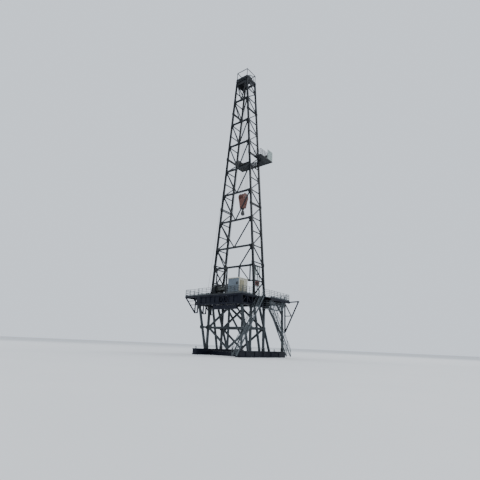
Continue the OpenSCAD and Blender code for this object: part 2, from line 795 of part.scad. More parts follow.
module drawworks_drum() {
    color(GALV) translate([0, draw_y, draw_z]) rotate([0, 90, 0]) {
        translate([0, 0, draw_x0 + 66]) cylinder(r = drum_r, h = draw_x1 - draw_x0 - 132, $fn = 48);
        for (x = [draw_x0 + 62, draw_x1 - 72]) translate([0, 0, x]) cylinder(r = 58, h = 8, $fn = 48);
        translate([0, 0, draw_x0 + 10]) cylinder(r = 9.7, h = draw_x1 - draw_x0 - 20, $fn = 32);
    }
}

// Pale stand inside the right side of the mast, with a small winch on its lower shelf
stand_y0 = 84;
stand_y1 = 214;
stand_h = 500;
stand_half = 24;
stand_x = floor(inner_x(floor_h + stand_h) - stand_half);
shelf_h = 168;
module winch_stand() {
    color(PALE) {
        block([stand_x - stand_half - 2, stand_y0 - 4, floor_h],
              [stand_x + stand_half + 2, stand_y1 + 4, floor_h + 6]);
        for (y = [stand_y0, stand_y1 - 12]) for (x = [stand_x - stand_half, stand_x + stand_half - 12])
            block([x, y, floor_h + 2], [x + 12, y + 12, floor_h + stand_h]);
        for (h = [shelf_h, shelf_h + 190, stand_h - 8])
            block([stand_x - stand_half, stand_y0, floor_h + h],
                  [stand_x + stand_half, stand_y1, floor_h + h + 8]);
        block([stand_x - 3, stand_y0 + 6, floor_h + shelf_h + 194],
              [stand_x + 3, stand_y0 + 60, floor_h + stand_h - 4]);
    }
}

winch_y = (stand_y0 + stand_y1) / 2;
winch_z = floor_h + shelf_h + 8 + seat;
module air_winch() {
    color(RED) {
        block([stand_x - 20, winch_y - 46, winch_z], [stand_x + 20, winch_y + 46, winch_z + 10]);
        for (s = [-1, 1]) translate([stand_x, winch_y + s * 36, winch_z]) along_y(8)
            polygon([[-20, 8], [20, 8], [12, 60], [-12, 60]]);
        translate([stand_x, winch_y - 46, winch_z + 44]) rotate([-90, 0, 0])
            cylinder(r = 24, h = 92, $fn = 32);
    }
}

// Driller's cabin at the rear right corner
cab_x0 = 170;
cab_x1 = cab_x0 + cabin_w;
cab_y0 = 14 - floor_rear;
cab_y1 = cab_y0 + cabin_d;
cab_roof_t = 8;
door_w = 66;
door_h = 195;
sill_h = 100;
window_h = 76;
module cabin_walls() {
    z0 = floor_h;
    z1 = floor_h + cabin_h - cab_roof_t;
    color(CABIN) difference() {
        block([cab_x0, cab_y0, z0], [cab_x1, cab_y1, z1]);
        block([cab_x0 + cabin_wall, cab_y0 + cabin_wall, z0 + 6],
              [cab_x1 - cabin_wall, cab_y1 - cabin_wall, z1 + 1]);
        // Doorway in the right wall
        block([cab_x1 - cabin_wall - 1, cab_y0 + 26, z0 + 6],
              [cab_x1 + 1, cab_y0 + 26 + door_w, z0 + door_h]);
        for (w = cabin_windows_at) translate(w[0] - w[1]) cube(2 * w[1]);
    }
}

// Windows as [centre, half size]: rear, left side and front
cabin_windows_at = [
    [[cab_x1 - 34, cab_y0 + cabin_wall / 2, floor_h + 148], [17, cabin_wall, 18]],
    [[cab_x0 + cabin_wall / 2, (cab_y0 + cab_y1) / 2, floor_h + sill_h + window_h / 2],
     [cabin_wall, 74, window_h / 2]],
    [[(cab_x0 + cab_x1) / 2, cab_y1 - cabin_wall / 2, floor_h + sill_h + window_h / 2],
     [78, cabin_wall, window_h / 2]]];
glass_t = 2;
module cabin_windows() {
    color("#28323a") for (w = cabin_windows_at) {
        h = [for (v = w[1]) v == cabin_wall ? glass_t / 2 : v - seat];
        translate(w[0] - h) cube(2 * h);
    }
}

module cabin_roof() {
    z = floor_h + cabin_h - cab_roof_t;
    color(CREAM) block([cab_x0 - 4, cab_y0 - 4, z], [cab_x1 + 4, cab_y1 + 4, z + cab_roof_t]);
}

// Left platform on its knee brackets
left_x1 = -floor_w / 2 - seat;
left_x0 = left_x1 - left_reach;
left_y0 = -290;
left_y1 = 120;
bracket_h = 280;
bracket_in = 66;
module platform_left() {
    color(NAVY) {
        block([left_x0, left_y0, floor_h - 6], [left_x1, left_y1, floor_h]);
        for (y = [left_y0 + 8, (left_y0 + left_y1) / 2, left_y1 - 8]) translate([0, y, 0]) along_y(14) {
            stick([left_x0, floor_h - 16], [left_x1, floor_h - 16], 22);
            for (x = [left_x1 - 16, left_x1 - bracket_in - 8])
                translate([x, floor_h - bracket_h]) square([16, bracket_h - 10]);
            stick([left_x0 + 12, floor_h - 16], [left_x1 - bracket_in, floor_h - bracket_h + 8], 18);
            for (k = [1, 2, 3]) {
                share = k * 0.25;
                z = floor_h - 16 - share * (bracket_h - 24);
                stick([left_x0 + 12 + share * (left_reach - bracket_in - 12), z],
                      [left_x1 - bracket_in, z], 8);
            }
            for (h = [bracket_h / 2, bracket_h - 8])
                stick([left_x1 - bracket_in, floor_h - h], [left_x1 - 8, floor_h - h], 16);
        }
        block([left_x0, left_y0, floor_h - 28], [left_x0 + 12, left_y1, floor_h - 4]);
    }
}

// Right platform, with the arm and the bracket at its front end
right_x0 = floor_w / 2 + seat;
right_x1 = right_x0 + right_reach;
right_y0 = 290;
arm_x = 754;
module platform_right() {
    color(NAVY) {
        difference() {
            block([right_x0, right_y0, floor_h - 6], [right_x1, floor_front, floor_h]);
            block([front_stair_x - stair_w / 2 - 1, front_stair_y - upper_run, floor_h - 7],
                  [front_stair_x + stair_w / 2 + 1, front_stair_y + 1, floor_h + 1]);
        }
        block([right_x1 - 12, right_y0, floor_h - 40], [right_x1, floor_front, floor_h - 4]);
        translate([0, right_y0 + 9, 0]) along_y(18) {
            stick([right_x0, floor_h - 12], [right_x1, floor_h - 12], 16);
        }
        translate([0, floor_front - 11, 0]) along_y(22) {
            stick([right_x0, floor_h - 18], [arm_x, floor_h - 10], 18);
            stick([arm_x - 10, floor_h - 12], [right_x0 + 12, floor_h - 500], 14);
            translate([right_x0, floor_h - 510]) square([16, 500]);
            stick([right_x0 + 6, floor_h - 22], [right_x0 + 130, floor_h - 243], 12);
            stick([right_x0, floor_h - 243], [right_x0 + 132, floor_h - 243], 12);
        }
    }
}

// Railings round the floor and the platforms
rail_in = 6;
module railing_left() {
    color(GALV) translate([0, 0, floor_h]) {
        translate([left_x0 + rail_in, 0, 0]) across_x(rail_t) railing(left_y0 + 4, left_y1 - 4, 4);
        translate([0, left_y0 + rail_in, 0]) along_y(rail_t)
            railing(left_x0 + rail_in + 4, -floor_w / 2 - 2, 3);
        translate([0, left_y1 - rail_in, 0]) along_y(rail_t)
            railing(left_x0 + rail_in + 4, -floor_w / 2 - 2, 3);
        translate([-floor_w / 2 + rail_in, 0, 0]) across_x(rail_t) {
            railing(left_y1 + 10, mast_depth - 30, 1);
            railing(mast_depth + 30, floor_front - 12, 5);
        }
    }
}
module railing_rear() {
    color(GALV) translate([0, -floor_rear + rail_in, floor_h]) along_y(rail_t) {
        railing(-floor_w / 2 + 12, draw_x0 - 6, 3);
        railing(draw_x1 + 4, floor_w / 2 - 4, 4);
    }
}
module railing_right() {
    color(GALV) translate([0, 0, floor_h]) {
        translate([floor_w / 2 - rail_in, 0, 0]) across_x(rail_t) railing(-floor_rear + 12, -60, 3);
        translate([right_x1 - rail_in, 0, 0]) across_x(rail_t) railing(right_y0 + 10, floor_front - 12, 6);
    }
}
module railing_front() {
    color(GALV) translate([0, floor_front - rail_in, floor_h]) along_y(rail_t) {
        railing(-floor_w / 2 + 4, -130, 3);
        railing(130, floor_w / 2 - 4, 3);
        railing(floor_w / 2 + 6, right_x1 - 12, 2);
    }
}

// One flight of stairs from its top edge, down and away along +Y for dir 1 or -Y for dir -1
stair_going = 16.2;
stringer_t = 5;
stringer_w = 24;
module flight_side(steps, dir) {
    run = steps * stair_going;
    drop = steps * stair_rise;
    slope = stair_rise / stair_going;
    intersection() {
        stick([-dir * 30, -14 + 30 * slope], [dir * (run + 30), -drop - 14 - 30 * slope], stringer_w);
        translate([dir > 0 ? 0 : -run, -drop]) square([run, drop]);
    }
    intersection() {
        union() {
            stick([dir * 8, 90], [dir * run, -drop + 90 + 8 * slope], rail_t);
            stick([dir * 8, 50], [dir * run, -drop + 50 + 8 * slope], rail_t);
            for (k = [0:5]) {
                y = dir * (10 + (run - 14) * k / 5);
                z = -(10 + (run - 14) * k / 5) * slope;
                translate([y - rail_t / 2, z - 10]) square([rail_t, 112]);
            }
        }
        translate([dir > 0 ? 0 : -run, -drop]) square([run, drop + 120]);
    }
}
module flight_sides(x, y, z, steps, dir) {
    for (s = [-1, 1]) translate([x + s * (stair_w / 2 - stringer_t / 2), y, z])
        across_x(stringer_t) flight_side(steps, dir);
}
module flight_treads(x, y, z, steps, dir) {
    half = stair_w / 2 - stringer_t - seat;
    for (k = [1:steps - 1]) translate([x - half, y + dir * (k - 0.5) * stair_going - 8, z - k * stair_rise])
        cube([2 * half, 16, 3]);
}

// Stair that drops to the rear beside the right side frame, with its top landing
stair_x = floor_w / 2 + seat + stair_w / 2 + 4;
rear_stair_y = 115;
rear_steps = floor(floor_h / stair_rise);
module stair_rear_sides() {
    color(GALV) {
        flight_sides(stair_x, rear_stair_y, floor_h, rear_steps, -1);
        block([floor_w / 2 + seat, rear_stair_y + seat, floor_h - 8],
              [stair_x + stair_w / 2, right_y0 - seat, floor_h]);
        translate([stair_x + stair_w / 2 - rail_t / 2, 0, floor_h]) across_x(rail_t)
            railing(rear_stair_y + 2, right_y0 - 2, 1);
    }
}
module stair_rear_treads() {
    color(GALV) flight_treads(stair_x, rear_stair_y, floor_h, rear_steps, -1);
}

// Stair in two flights under the right platform, with a walkway between them
front_stair_x = stair_x;
lower_stair_x = stair_x + stair_w + 4;
front_stair_y = 776;
upper_steps = 8;
upper_run = upper_steps * stair_going;
walk_z = floor_h - upper_steps * stair_rise;
walk_y1 = front_stair_y - upper_run - seat;
walk_y0 = 190;
lower_stair_y = 272;
lower_steps = floor(walk_z / stair_rise);
module stair_front_sides() {
    color(GALV) {
        flight_sides(front_stair_x, front_stair_y, floor_h, upper_steps, -1);
        flight_sides(lower_stair_x, lower_stair_y, walk_z, lower_steps, 1);
    }
}
module stair_front_treads() {
    color(GALV) {
        flight_treads(front_stair_x, front_stair_y, floor_h, upper_steps, -1);
        flight_treads(lower_stair_x, lower_stair_y, walk_z, lower_steps, 1);
    }
}
module stair_walkway() {
    x0 = front_stair_x - stair_w / 2;
    x1 = lower_stair_x + stair_w / 2;
    color(GALV) {
        block([x0, walk_y0, walk_z - 8], [front_stair_x + stair_w / 2, walk_y1, walk_z]);
        block([x0, walk_y0, walk_z - 8], [x1, lower_stair_y - seat, walk_z]);
        for (x = [x0, front_stair_x + stair_w / 2 - 6]) for (y = [right_y0 + 20, walk_y1 - 8])
            block([x, y, walk_z - 2], [x + 6, y + 6, floor_h - 6]);
        translate([x0, walk_y0 + 3, walk_z]) along_y(rail_t) railing(0, x1 - x0, 1);
        translate([x1 - 3, 0, walk_z]) across_x(rail_t) railing(walk_y0, lower_stair_y - 2, 1);
        translate([front_stair_x + stair_w / 2 - 3, 0, walk_z]) across_x(rail_t)
            railing(lower_stair_y + 4, walk_y1, 3);
    }
}

base_box_left();
base_box_right();
base_spreaders();
side_frame_left();
side_frame_right();
rear_cross_frame();
front_cross_frame();
floor_box_left();
floor_box_right();
rear_floor_truss();
floor_cross_beams();
front_floor_frame();
front_posts();
floor_plates();
rotary_table();
mast_left_1();
mast_left_2();
mast_left_3();
mast_left_4();
mast_left_5();
mast_right_1();
mast_right_2();
mast_right_3();
mast_right_4();
mast_right_5();
back_bracing_1();
back_bracing_2();
back_bracing_3();
back_bracing_4();
back_bracing_5();
crown_frame();
crown_sheaves();
drilling_lines();
travelling_block();
hook();
deadline();
deadline_anchor();
fast_line();
racking_board();
board_fingers();
windwall();
mast_ladder();
drawworks_frame();
drawworks_drum();
winch_stand();
air_winch();
cabin_walls();
cabin_roof();
cabin_windows();
platform_left();
platform_right();
railing_left();
railing_rear();
railing_right();
railing_front();
stair_rear_sides();
stair_rear_treads();
stair_front_sides();
stair_front_treads();
stair_walkway();
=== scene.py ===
"""Dresses the one-tenth land drilling rig in its paint, ropes, pins and small steelwork."""
import math
import bmesh
import bpy
from mathutils import Matrix, Vector


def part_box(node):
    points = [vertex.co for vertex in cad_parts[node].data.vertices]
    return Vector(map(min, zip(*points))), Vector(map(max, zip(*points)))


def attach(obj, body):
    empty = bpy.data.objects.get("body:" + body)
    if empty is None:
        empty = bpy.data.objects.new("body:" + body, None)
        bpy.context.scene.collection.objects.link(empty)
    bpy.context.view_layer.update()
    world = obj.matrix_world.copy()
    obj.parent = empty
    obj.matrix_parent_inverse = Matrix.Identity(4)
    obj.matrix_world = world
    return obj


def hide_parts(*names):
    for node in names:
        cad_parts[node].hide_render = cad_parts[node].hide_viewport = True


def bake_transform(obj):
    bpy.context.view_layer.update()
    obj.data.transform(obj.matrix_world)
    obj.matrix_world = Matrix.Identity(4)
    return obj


bl_info = {
    "name": "Drilling Rig Model",
    "version": (1, 0, 0),
    "blender": (4, 5, 0),
    "location": "3D View > Sidebar > Drilling Rig",
    "description": "Paints the one-tenth drilling rig and adds its ropes, pins, gussets and trim",
    "category": "Object",
}

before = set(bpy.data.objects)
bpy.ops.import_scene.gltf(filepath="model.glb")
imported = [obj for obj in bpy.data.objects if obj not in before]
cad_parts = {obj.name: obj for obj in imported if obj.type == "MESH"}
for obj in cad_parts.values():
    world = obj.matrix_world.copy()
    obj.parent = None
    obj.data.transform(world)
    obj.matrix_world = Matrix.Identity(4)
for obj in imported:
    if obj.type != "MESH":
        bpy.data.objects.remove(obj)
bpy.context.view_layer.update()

# Levels of the mast's beams above the ground, in metres
LEVELS = [0.9, 1.386, 1.725, 2.219, 2.749, 3.243, 3.773, 4.267, 4.797, 5.291]
SPLICES = [1.43, 2.484, 3.508, 4.532]
MAST_FOOT_HALF = 0.448
MAST_TOP_HALF = 0.129
MAST_DEPTH = 0.275
FLOOR_Z = 0.9
WELL_Y = 0.2

# Crown and travelling block
CROWN_Z = 5.43
CROWN_BEAM_Z = 5.355
CROWN_GUARD_R = 0.088
BEARING_X = 0.083
BLOCK_Z = 2.722
BLOCK_HALF = 0.053
BLOCK_DROP = 0.214
SHEAVE_X = [-0.036, -0.018, 0.0, 0.018, 0.036]
ROPE_SIDE = 0.07
FALL_RINGS = 90
STRAND_VALLEY = 0.78

# Drawworks, small winch and deadline anchor
DRAW_Y = -0.21
DRAW_Z = 0.988
DRUM_R = 0.038
HOUSING_X = (-0.145, 0.115)
WINCH_X = 0.372
WINCH_Y = 0.149
WINCH_Z = 1.1203
ANCHOR_X = -0.545
ANCHOR_Y = 0.02
ANCHOR_Z = 0.962

# Racking board, railings and stairs
BOARD_TOP = 3.466
DARK_SHEET_H = 0.19
# Where along X the windwall's sheet turns pale green: painted sky light
SKY_LIGHT_FROM_X = 0.33275
RAIL_T = 0.005
TOE_FOLD = 3.2
GOING = 0.0162
RISE = 0.022

# Each railing's fixed coordinate, its start, end and bays, and whether it runs along X
RAIL_RUNS = (
    (-0.7823, -0.286, 0.116, 4, False), (-0.284, -0.7783, -0.472, 3, True),
    (0.114, -0.7783, -0.472, 3, True), (-0.464, 0.130, 0.245, 1, False),
    (-0.464, 0.305, 0.873, 5, False), (-0.324, -0.458, -0.181, 3, True),
    (-0.324, 0.149, 0.466, 4, True), (0.464, -0.318, -0.060, 3, False),
    (0.5643, 0.300, 0.873, 6, False), (0.879, -0.466, -0.130, 3, True),
    (0.879, 0.130, 0.466, 3, True), (0.879, 0.476, 0.5583, 2, True),
)
# Each flight's middle, top edge and height, its number of rises, and the way it goes down along Y
FLIGHTS = ((0.5143, 0.115, 0.9, 40, -1), (0.5143, 0.776, 0.9, 8, -1), (0.5983, 0.272, 0.724, 32, 1))

# Substructure
BOX_X = 0.43
BASE_Z = 0.09
BOX_Z = 0.74
MID_Z = 0.415
FRONT_POST_Z = 0.832
# Where the posts and struts are pinned: the feet along Y, and the heads along Y with their heights
POST_FEET = (-0.05, 0.3, 0.86)
POST_HEADS = ((-0.05, BOX_Z), (0.3, BOX_Z), (0.86, FRONT_POST_Z), (-0.288, BOX_Z))
PIN_REACH = 0.0195

# Studio: the camera's place, its pitch, roll and yaw, lens and shift, then each lamp's place, size and power
CAMERA_AT = (3.7136, -4.5395, 0.1601)
PITCH, ROLL, YAW = (math.radians(angle) for angle in (20.49, 2.46, 38.5))
LENS = 26.43
SHIFT = (-0.0006, -0.0552)
LAMPS = {"key": ((7.0, -8.0, 9.0), 5.0, 500.0), "fill": ((-9.0, -3.0, 6.0), 6.0, 250.0),
         "back": ((2.0, 9.0, 8.0), 5.0, 450.0)}
AIM = Vector((0, 0, 2.5))

QUARTER = math.pi / 2
SIDES = (-1, 1)
LEAN = math.atan((MAST_FOOT_HALF - MAST_TOP_HALF) / (LEVELS[-1] - FLOOR_Z))

# Finishes
SLATE = "slate mast enamel"
STRUT_GREY = "grey strut enamel"
NAVY = "navy enamel"
TRUSS_BLUE = "steel-blue enamel"
BARE = "bare machined steel"
CAST = "blackened cast steel"
ZINC = "galvanised steel"
STAIR_ZINC = "aged stair galvanising"
DECK_ZINC = "walkway galvanising"
ROPE = "greased wire rope"
BLOCK_BROWN = "rust-brown block paint"
WINCH_RED = "red oxide enamel"
# The cabin's walls in blue-grey: painted shade on its cream enamel
CABIN_PAINTED_SHADE = "cabin cream darkened to blue-grey as painted shade"
CREAM = "cream cabin enamel"
DOOR_BROWN = "pale brown door enamel"
# Pale green paint of the winch stand, and painted sky light on the windwall's far sheet
PALE_GREEN_AND_PAINTED_SKY_LIGHT = "pale green paint and painted sky light"
# Slate sheet paint, pale green past an X as painted sky light
WINDWALL_SLATE_AND_SKY_LIGHT = "slate sheet paint, pale past an X as painted sky light"
GLASS = "tinted glass"
CHEQUER = "chequered floor plate"
VINYL = "pale studio vinyl"

# Which finish each CAD node shows, by the start of its name
NODE_FINISHES = (
    ("floor_plates", CHEQUER), ("base_", NAVY), ("floor_", NAVY), ("front_floor", NAVY), ("platform_", NAVY),
    ("rear_floor", TRUSS_BLUE), ("side_frame", STRUT_GREY), ("rear_cross", STRUT_GREY),
    ("front_cross", STRUT_GREY), ("front_posts", STRUT_GREY), ("railing_", ZINC), ("stair_", STAIR_ZINC),
    ("deadline_anchor", SLATE), ("deadline", ROPE), ("drilling_lines", ROPE), ("fast_line", ROPE),
    ("drawworks_drum", BARE), ("travelling_block", BLOCK_BROWN), ("hook", CAST), ("crown_sheaves", CAST),
    ("rotary_table", CAST), ("air_winch", WINCH_RED), ("winch_stand", PALE_GREEN_AND_PAINTED_SKY_LIGHT), ("cabin_roof", CREAM),
    ("cabin_windows", GLASS), ("cabin_walls", CABIN_PAINTED_SHADE), ("windwall", WINDWALL_SLATE_AND_SKY_LIGHT), ("", SLATE),
)


def half_width(z):
    """Distance of a leg's centre from the mast's centre-line at a height."""
    return MAST_FOOT_HALF - (z - FLOOR_Z) * (MAST_FOOT_HALF - MAST_TOP_HALF) / (LEVELS[-1] - FLOOR_Z)


def linear(code):
    """The linear colour of an sRGB hex value."""
    parts = [int(code[i:i + 2], 16) / 255 for i in (0, 2, 4)]
    return tuple(v / 12.92 if v <= 0.04045 else ((v + 0.055) / 1.055) ** 2.4 for v in parts) + (1.0,)


def spread(start, end, step):
    """Evenly spaced values from start to end, about a step apart."""
    count = max(1, round((end - start) / step))
    return [start + (end - start) * k / count for k in range(count + 1)]


# Places

def at(x, y, z, turn=0.0, axis="Z"):
    """A place as a matrix: a move, with a turn about one axis first."""
    return Matrix.Translation((x, y, z)) @ Matrix.Rotation(turn, 4, axis)


def leg_place(side, y, z, forwards=True):
    """A place on a leg that leans with it, its Y towards the rig's front or its rear."""
    turn = at(side * half_width(z), y, z, 0.0 if side > 0 else math.pi) @ Matrix.Rotation(-LEAN, 4, "Y")
    return turn @ at(0, 0, 0, 0.0 if (side > 0) == forwards else math.pi)


def both_ends(left, right, y, z):
    """The two ends of a shaft along X, each looking outwards."""
    return [at(right, y, z), at(left, y, z, math.pi)]


def round_about(count, axis="X", start=0.0):
    """Turns about an axis in even steps, the first one moved on by a share of a step."""
    return [at(0, 0, 0, math.tau * (k + start) / count, axis) for k in range(count)]


def every(spots, pattern):
    """Each place of a pattern at each spot."""
    return [spot @ place for spot in spots for place in pattern]


# Modelling

def begin(name, primitive, **settings):
    """Adds a primitive under a name and opens it in edit mode with all of it selected."""
    close_edit()
    bpy.ops.object.select_all(action="DESELECT")
    primitive(**settings)
    piece = bpy.context.object
    piece.name = name
    piece.data.name = name
    bpy.ops.object.transform_apply(location=True, rotation=True, scale=True)
    bpy.ops.object.mode_set(mode="EDIT")
    return piece


def begin_block(name, low, high):
    """Starts a piece from a block between two corners."""
    low, high = Vector(low), Vector(high)
    return begin(name, bpy.ops.mesh.primitive_cube_add, size=1, location=(low + high) / 2, scale=high - low)


def begin_round(name, start, end, radius, sides=16):
    """Starts a piece from a round bar between two points."""
    start, end = Vector(start), Vector(end)
    turn = (end - start).to_track_quat("Z", "Y").to_euler()
    return begin(name, bpy.ops.mesh.primitive_cylinder_add, vertices=sides, radius=radius,
                 depth=(end - start).length, location=(start + end) / 2, rotation=turn)


def begin_tube(name, radius, width, sides, **settings):
    """Starts a piece from a round strap, open at both ends."""
    return begin(name, bpy.ops.mesh.primitive_cylinder_add, vertices=sides, radius=radius, depth=width,
                 end_fill_type="NOTHING", **settings)


def pick_faces(test):
    """Selects only the faces whose centre and normal pass the test."""
    bpy.ops.mesh.select_mode(type="FACE")
    bpy.ops.mesh.select_all(action="DESELECT")
    mesh = bmesh.from_edit_mesh(bpy.context.edit_object.data)
    for face in mesh.faces:
        face.select_set(bool(test(face.calc_center_median(), face.normal)))
    bmesh.update_edit_mesh(bpy.context.edit_object.data)


def pick_side(*way):
    """Selects only the faces that look one way."""
    pick_faces(lambda middle, normal: normal.dot(Vector(way)) > 0.9)


def pick_edges(test):
    """Selects only the edges whose middle and direction pass the test."""
    bpy.ops.mesh.select_mode(type="EDGE")
    bpy.ops.mesh.select_all(action="DESELECT")
    mesh = bmesh.from_edit_mesh(bpy.context.edit_object.data)
    for edge in mesh.edges:
        a, b = (v.co for v in edge.verts)
        edge.select_set(bool(test((a + b) / 2, (b - a).normalized())))
    bmesh.update_edit_mesh(bpy.context.edit_object.data)


def bevel(width, segments=1):
    """Rounds the picked edges."""
    bpy.ops.mesh.bevel(offset=width, segments=segments, affect="EDGES")


def bevel_edges(width, axis="", segments=1, where=lambda middle: True):
    """Rounds the edges that run along an axis, or all of them, where their middle passes the test."""
    pick_edges(lambda middle, along: where(middle) and (not axis or abs(getattr(along, axis)) > 0.9))
    bevel(width, segments)


def bevel_ends(width):
    """Rounds the rims of a bar's two ends."""
    mesh = bmesh.from_edit_mesh(bpy.context.edit_object.data)
    ends = [face.calc_center_median() for face in mesh.faces if len(face.verts) > 4]
    pick_faces(lambda middle, normal: any((middle - end).length < 1e-5 for end in ends))
    bevel(width)


def raise_by(*move):
    """Extrudes the picked faces by a move."""
    bpy.ops.mesh.extrude_region_move(TRANSFORM_OT_translate={"value": move})


def inset(width, depth=0):
    """Insets the picked faces, and raises or sinks them by a depth."""
    bpy.ops.mesh.inset(thickness=width, depth=depth)


def scale_by(scale, centre):
    """Scales what is picked about a centre."""
    bpy.ops.transform.resize(value=scale, center_override=centre)


def shoulder(scale, centre):
    """Starts a wider or narrower step on the picked faces, flat on them."""
    raise_by(0, 0, 0)
    scale_by(scale, centre)


def field(width, height, slope=0.0006):
    """Insets the picked faces and raises their middle, or sinks it where height is negative."""
    inset(width)
    inset(slope, height)


def drop_faces(test):
    """Deletes the faces that pass the test."""
    pick_faces(test)
    bpy.ops.mesh.delete(type="FACE")


def close_edit():
    """Leaves edit mode."""
    if bpy.context.mode == "EDIT_MESH":
        bpy.ops.object.mode_set(mode="OBJECT")


def apply_modifier(piece, kind, **settings):
    """Adds a modifier with its settings and applies it."""
    close_edit()
    modifier = piece.modifiers.new("shape", kind)
    for name, value in settings.items():
        setattr(modifier, name, value)
    bpy.ops.object.modifier_apply(modifier=modifier.name)


def wind_on(rise, turn):
    """Extrudes the picked edges upwards and turns them about Z."""
    bpy.ops.mesh.extrude_edges_move(TRANSFORM_OT_translate={"value": (0, 0, rise)})
    bpy.ops.transform.rotate(value=turn, orient_axis="Z", center_override=(0, 0, 0))


def close_tube():
    """Closes a tube's open ends and turns its faces outwards."""
    bpy.ops.mesh.select_mode(type="VERT")
    bpy.ops.mesh.select_all(action="SELECT")
    bpy.ops.mesh.fill_holes(sides=0)
    bpy.ops.mesh.select_all(action="SELECT")
    bpy.ops.mesh.normals_make_consistent(inside=False)


def winding(name, radius, thickness, pitch, turns, steps=24, sides=6):
    """A rope or rod wound along Z from the origin, closed at both ends."""
    piece = begin(name, bpy.ops.mesh.primitive_circle_add, vertices=sides, radius=thickness / 2,
                  fill_type="NOTHING", location=(radius, 0, 0), rotation=(QUARTER, 0, 0))
    for step in range(steps):
        wind_on(pitch / steps, math.tau / steps)
    apply_modifier(piece, "ARRAY", count=turns, use_relative_offset=False, use_constant_offset=True,
                   constant_offset_displace=(0, 0, pitch), use_merge_vertices=True, merge_threshold=1e-5)
    bpy.ops.object.mode_set(mode="EDIT")
    close_tube()
    close_edit()
    return piece


def joined(name, parts):
    """Joins several pieces into one."""
    close_edit()
    bpy.ops.object.select_all(action="DESELECT")
    for part in parts:
        part.select_set(True)
    bpy.context.view_layer.objects.active = parts[0]
    if len(parts) > 1:
        bpy.ops.object.join()
    parts[0].name = name
    parts[0].data.name = name
    return parts[0]


def copies(piece, places):
    """Copies a modelled piece to each place, each copy with its own mesh, and joins them under its name."""
    close_edit()
    name = piece.name
    made = []
    for place in places:
        one = piece.copy()
        one.data = piece.data.copy()
        one.data.transform(place)
        bpy.context.collection.objects.link(one)
        made.append(one)
    bpy.data.objects.remove(piece)
    return joined(name, made)


def dress(piece, finish, places=None, body="rig", smooth=False):
    """Sets a piece at its places, gives it its material, and lets it ride on its body."""
    close_edit()
    if places:
        piece = copies(piece, places)
    if smooth:
        bpy.ops.object.select_all(action="DESELECT")
        piece.select_set(True)
        bpy.context.view_layer.objects.active = piece
        bpy.ops.object.shade_smooth_by_angle(angle=math.radians(35))
    piece.data.materials.clear()
    piece.data.materials.append(bpy.data.materials[finish])
    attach(piece, body)
    return piece


def bolts(name, foot, axis, radius, height, places, finish=ZINC, body="rig"):
    """Hexagon heads with chamfered tops, each standing on a surface at its foot."""
    foot, axis = Vector(foot), Vector(axis)
    head = begin_round(name, foot - axis * 0.0003, foot + axis * height * 0.75, radius, 6)
    pick_side(*axis)
    raise_by(*(axis * height * 0.25))
    scale_by((0.78, 0.78, 0.78), foot + axis * height)
    dress(head, finish, places, body)


def collared_pin(name, axis, reach, radius, sides, collar, height, chamfer):
    """A pin through the origin with a wider collar at both ends, each chamfered."""
    axis = Vector(axis)
    pin = begin_round(name, -axis * reach, axis * reach, radius, sides)
    for way in (-axis, axis):
        pick_side(*way)
        shoulder([1.0 if part else collar for part in axis], way * reach)
        raise_by(*(way * height))
        inset(0.003, chamfer)
    return pin


def wall_frame(name, place, half_width, half_height, border=0.005, proud=0.0035):
    """A frame round an opening in a wall, its outer side towards the place's Y."""
    low = (-half_width - border, -0.0005, -half_height - border)
    bars = begin_block(name, low, (half_width + border, proud, half_height + border))
    pick_faces(lambda middle, normal: abs(normal.y) > 0.9)
    inset(border)
    bpy.ops.mesh.bridge_edge_loops()
    pick_edges(lambda middle, along: middle.y > proud - 1e-5 and max(abs(along.x), abs(along.z)) > 0.99)
    bevel(0.0008)
    return copies(bars, [place])


def grating(name, low, high, z, pitch=0.0085):
    """Bar grating on a deck: deep bars along Y, rods across them, and a flat bar at each end."""
    bar = begin_block("deep_bar", (-0.0009, low[1], z - 0.0002), (0.0009, high[1], z + 0.0042))
    pick_side(0, 0, 1)
    shoulder((0.55, 1, 1), (0, 0, z))
    bars = copies(bar, [at(x, 0, 0) for x in spread(low[0], high[0], pitch)])
    rod = begin_block("cross_rod", (low[0], -0.0008, z + 0.0008), (high[0], 0.0008, z + 0.0034))
    bevel_edges(0.0004, "x")
    rods = copies(rod, [at(0, y, 0) for y in spread(low[1] + pitch, high[1] - pitch, pitch * 2.4)])
    edge = begin_block("end_bar", (low[0] - 0.001, -0.0012, z - 0.0002),
                       (high[0] + 0.001, 0.0012, z + 0.0045))
    bevel_edges(0.0005, "x")
    edges = copies(edge, [at(0, low[1], 0), at(0, high[1], 0)])
    dress(joined(name, [bars, rods, edges]), DECK_ZINC)


# Materials

def add(tree, kind, sockets=None, **fields):
    """Adds one node with its settings and links. A node given as a link stands for its main output."""
    node = tree.nodes.new("ShaderNode" + kind)
    for name, value in fields.items():
        setattr(node, name, value)
    for key, value in (sockets or {}).items():
        if isinstance(value, bpy.types.Node):
            value = next(output for output in value.outputs if output.enabled)
        if isinstance(value, bpy.types.NodeSocket):
            tree.links.new(value, node.inputs[key])
        else:
            node.inputs[key].default_value = value
    return node


def new_material(name):
    """An empty material's tree, and the place on the piece that its patterns follow."""
    material = bpy.data.materials.new(name)
    material.use_nodes = True
    tree = material.node_tree
    tree.nodes.clear()
    return tree, add(tree, "TexCoord").outputs["Object"]


def finish_surface(tree, sockets):
    """Gives a surface its shader with these settings."""
    shader = add(tree, "BsdfPrincipled", sockets)
    add(tree, "OutputMaterial", {"Surface": shader})
    return shader


